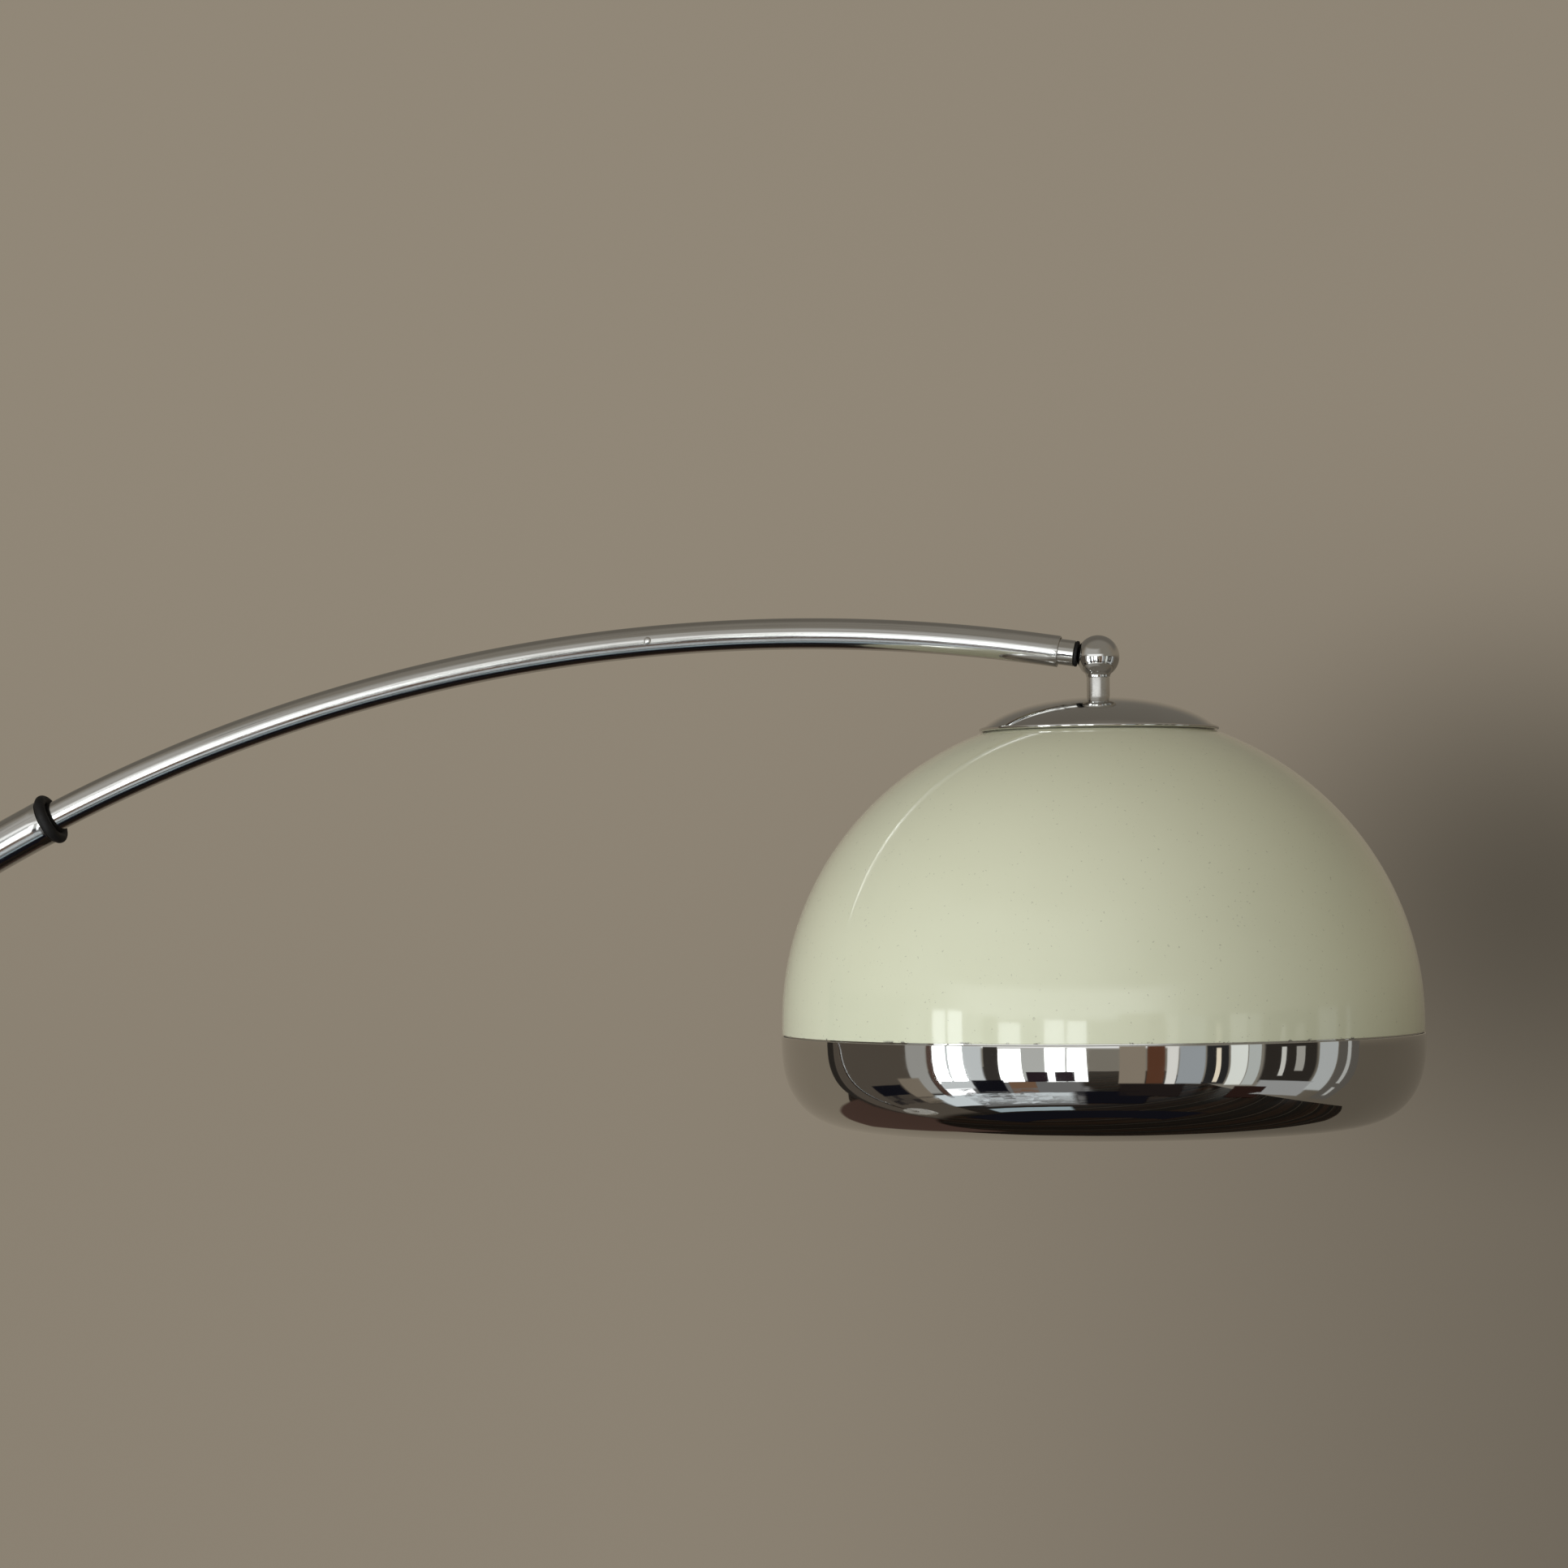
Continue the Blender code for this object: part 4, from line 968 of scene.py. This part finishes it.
def makeBackdrop(size):
    world = bpy.data.worlds.new("backdrop")
    bpy.context.scene.world = world
    world.use_nodes = True
    tree = world.node_tree
    way = addNode(tree, "ShaderNodeTexCoord").outputs["Generated"]
    height = split(tree, way)[2]
    side, ahead = (vectorCalc(tree, "DOT_PRODUCT", way, tuple(axis), output="Value") for axis in shotWays())
    # painted shade: the backdrop colour darkens towards the right and the lower side, standing in for the shade's
    # shadow on the wall
    right = smoothStep(tree, side, *size["rightFade"])
    lower = smoothStep(tree, height, *size["lowFade"])
    corner = calc(tree, "ADD", size["rightDim"], calc(tree, "MULTIPLY", lower, size["cornerDim"]))
    paintedShade = calc(tree, "MULTIPLY", right, corner)
    paintedShade = calc(tree, "ADD", paintedShade, calc(tree, "MULTIPLY", lower, size["lowDim"]))
    # painted shadow: a soft dark blob to the right of the shade, in front of the camera
    offSide = calc(tree, "DIVIDE", calc(tree, "SUBTRACT", side, size["shadowAt"][0]), size["shadowSize"][0])
    offHigh = calc(tree, "DIVIDE", calc(tree, "SUBTRACT", height, size["shadowAt"][1]), size["shadowSize"][1])
    off = lengthOf(tree, offSide, offHigh)
    spot = calc(tree, "MULTIPLY", smoothStep(tree, off, 1.0, 0.0), calc(tree, "GREATER_THAN", ahead, 0.0))
    shade = calc(tree, "MULTIPLY", calc(tree, "SUBTRACT", 1.0, paintedShade),
                 calc(tree, "SUBTRACT", 1.0, calc(tree, "MULTIPLY", spot, size["shadowDepth"])))
    grey = addNode(tree, "ShaderNodeCombineColor", {0: shade, 1: shade, 2: shade}).outputs[0]
    wall = blendColour(tree, 1.0, size["wall"], grey, "MULTIPLY")
    back = blendColour(tree, smoothStep(tree, ahead, 0.05, -0.6), wall, size["front"])
    high = calc(tree, "MULTIPLY", smoothStep(tree, height, 0.22, 0.5), smoothStep(tree, ahead, -0.1, 0.3))
    sky = blendColour(tree, smoothStep(tree, height, 0.45, 0.95), back, size["ceiling"])
    sky = blendColour(tree, high, sky, size["upper"])
    tree.links.new(sky, tree.nodes["Background"].inputs["Color"])


floorSizes = dict(solid=3.2, edge=6.5, height=-0.001, colour=(0.56, 0.53, 0.47))
boardSizes = dict(reach=6.4, right=1.95, near=0.9, corner=1.2, behind=1.5, height=-0.002, slant=0.35, lines=2.6,
                  dark=(0.02, 0.014, 0.012), light=(0.10, 0.055, 0.035), line=(0.30, 0.30, 0.29))
backdropSizes = dict(
    wall=(0.283, 0.243, 0.187), front=(0.27, 0.25, 0.21), ceiling=(0.27, 0.25, 0.215),
    upper=(0.175, 0.16, 0.135), rightFade=(-0.05, 0.26), lowFade=(0.13, -0.07), rightDim=0.06,
    cornerDim=0.34, lowDim=0.09,
    shadowAt=(0.180, -0.002), shadowSize=(0.095, 0.085), shadowDepth=0.5,
)
placeCamera(shotSizes)
makeFloor(floorSizes)
makeBoard(boardSizes)
makeBackdrop(backdropSizes)
daylight = (0.93, 0.98, 1.0)
panes = (  # left, right, low, high, glow
    (-64.5, -59.5, -12, 4.5, 3.6), (-58.5, -53, -12, 4.5, 3.8), (-64.5, -59.5, -23, -12, 15),
    (-58.5, -53, -23, -12, 15), (-40, -32, -23, 1.0, 3.0), (-24, -17, -23, 2.0, 3.5),
    (-16.2, -9.5, -23, 1.5, 3.5),
)
for index, (left, right, low, high, glow) in enumerate(panes):
    addPanel(f"window{index}", left, right, low, high, glow, daylight)
addPanel("wideFill", -75, 5, 0, 45, 1.45, (0.96, 0.99, 1.0), 3.3, shiny=False)
addPanel("backFill", 150, 210, 5, 55, 0.35, (1.0, 0.97, 0.92), 4.0, shiny=False)
addPanel("sideFill", 60, 110, 0, 40, 0.18, (1.0, 0.84, 0.50), 4.0, shiny=False)
addCard("brightWall", -100, 20, 4, 46, (0.52, 0.51, 0.48), 0.3, 3.95)
addCard("brightTop", -72, 30, 0, 15, (1.35, 1.38, 1.38), 0.25, 3.9)
darkGlass, woodBrown = (0.008, 0.008, 0.012), (0.13, 0.055, 0.03)
cards = (  # name, left, right, low, high, colour, distance
    ("wallEnd", -114, -72, -60, 9, (0.105, 0.088, 0.07), 3.9),
    ("cornerLine", -116, -112, -62, 9, (0.03, 0.026, 0.022), 3.85),
    ("paleCurtain", -76, -67, -34, 6, (0.42, 0.42, 0.40), 3.8),
    ("postOne", -67, -64.5, -38, 6, (0.10, 0.06, 0.045), 3.8),
    ("paneBack", -65, -45.5, -30, 4.5, (0.75, 0.80, 0.82), 3.75),
    ("postTwo", -45.5, -40, -30, 4, (0.05, 0.045, 0.04), 3.75),
    ("middleGlow", -40, -9, -22, 2.0, (0.62, 0.64, 0.62), 3.75),
    ("lowGlow", -60, -10, -52, -20, (0.20, 0.20, 0.20), 3.9),
    ("beigeCard", 1.0, 10.3, -26, 5, (0.33, 0.28, 0.22), 3.7),
    ("brownCard", 10.3, 17.0, -26, 5, woodBrown, 3.7), ("whiteEdge", 17.4, 21.5, -28, 4, (1.0, 1.0, 0.96), 3.7),
    ("greyCard", 21.5, 31, -26, 4, (0.42, 0.46, 0.49), 3.7),
    ("darkGap", 31, 39.4, -26, 4, (0.03, 0.03, 0.03), 3.7), ("slit", 34.6, 36.4, -24, 1, (1.1, 1.0, 0.8), 3.6),
    ("paleCard", 39.6, 46, -27, 4, (1.0, 1.05, 1.0), 3.7),
    ("paleCardTwo", 46, 51, -27, 4, (0.60, 0.64, 0.62), 3.7),
    ("curtain", 51.5, 75, -24, 4, (0.035, 0.03, 0.025), 3.7),
    ("curtainLight", 59, 61, -18, 0, (0.75, 0.75, 0.70), 3.6),
    ("curtainGlow", 65, 69, -14, 0, (0.45, 0.44, 0.40), 3.6),
    ("sill", 52, 77, -36, -21, (0.40, 0.41, 0.41), 3.5), ("endCard", 75, 84, -30, 4, (0.55, 0.58, 0.58), 3.65),
    ("lastLine", 88.5, 90.5, -34, 4, (0.55, 0.56, 0.54), 3.6),
    ("lastGap", 84, 95, -38, 4, (0.13, 0.12, 0.105), 3.7), ("blackBoxOne", -98, -82, -42, -22, darkGlass, 3.4),
    ("boxSide", -82, -72, -44, -17, (0.26, 0.22, 0.17), 3.45),
    ("blackBoxTwo", -52, -39, -44, -20, darkGlass, 3.4),
    ("chairOne", -31, -23, -23, -14, (0.03, 0.02, 0.025), 3.4),
    ("chairTwo", -21, -13.5, -23, -14, (0.03, 0.02, 0.025), 3.4),
    ("lowTable", -38, -28, -36, -22, (0.22, 0.13, 0.08), 3.5), ("lowShelf", -15, 14, -50, -33, darkGlass, 3.35),
    ("shelfTwo", 1, 26, -40, -25, (0.02, 0.015, 0.014), 3.4),
    ("shelfThree", 44, 58, -40, -27, (0.03, 0.015, 0.012), 3.4),
    ("panesLow", -64.5, -53, -36, -22, (3.0, 3.1, 3.2), 3.7),
    ("shineOne", -75, -14, -49, -34, (0.80, 0.88, 0.92), 3.45),
    ("shineTwo", -62, -18, -60, -54, (0.40, 0.50, 0.55), 3.45),
    ("brownFloor", -166, -112, -58, -30, (0.075, 0.045, 0.035), 3.5),
    ("blackFloor", -100, 60, -76, -61, darkGlass, 3.5),
)
for name, left, right, low, high, colour, distance in cards:
    addCard(name, left, right, low, high, colour, 0.06, distance)
bpy.context.scene.view_settings.view_transform = "Standard"
print("studio set")
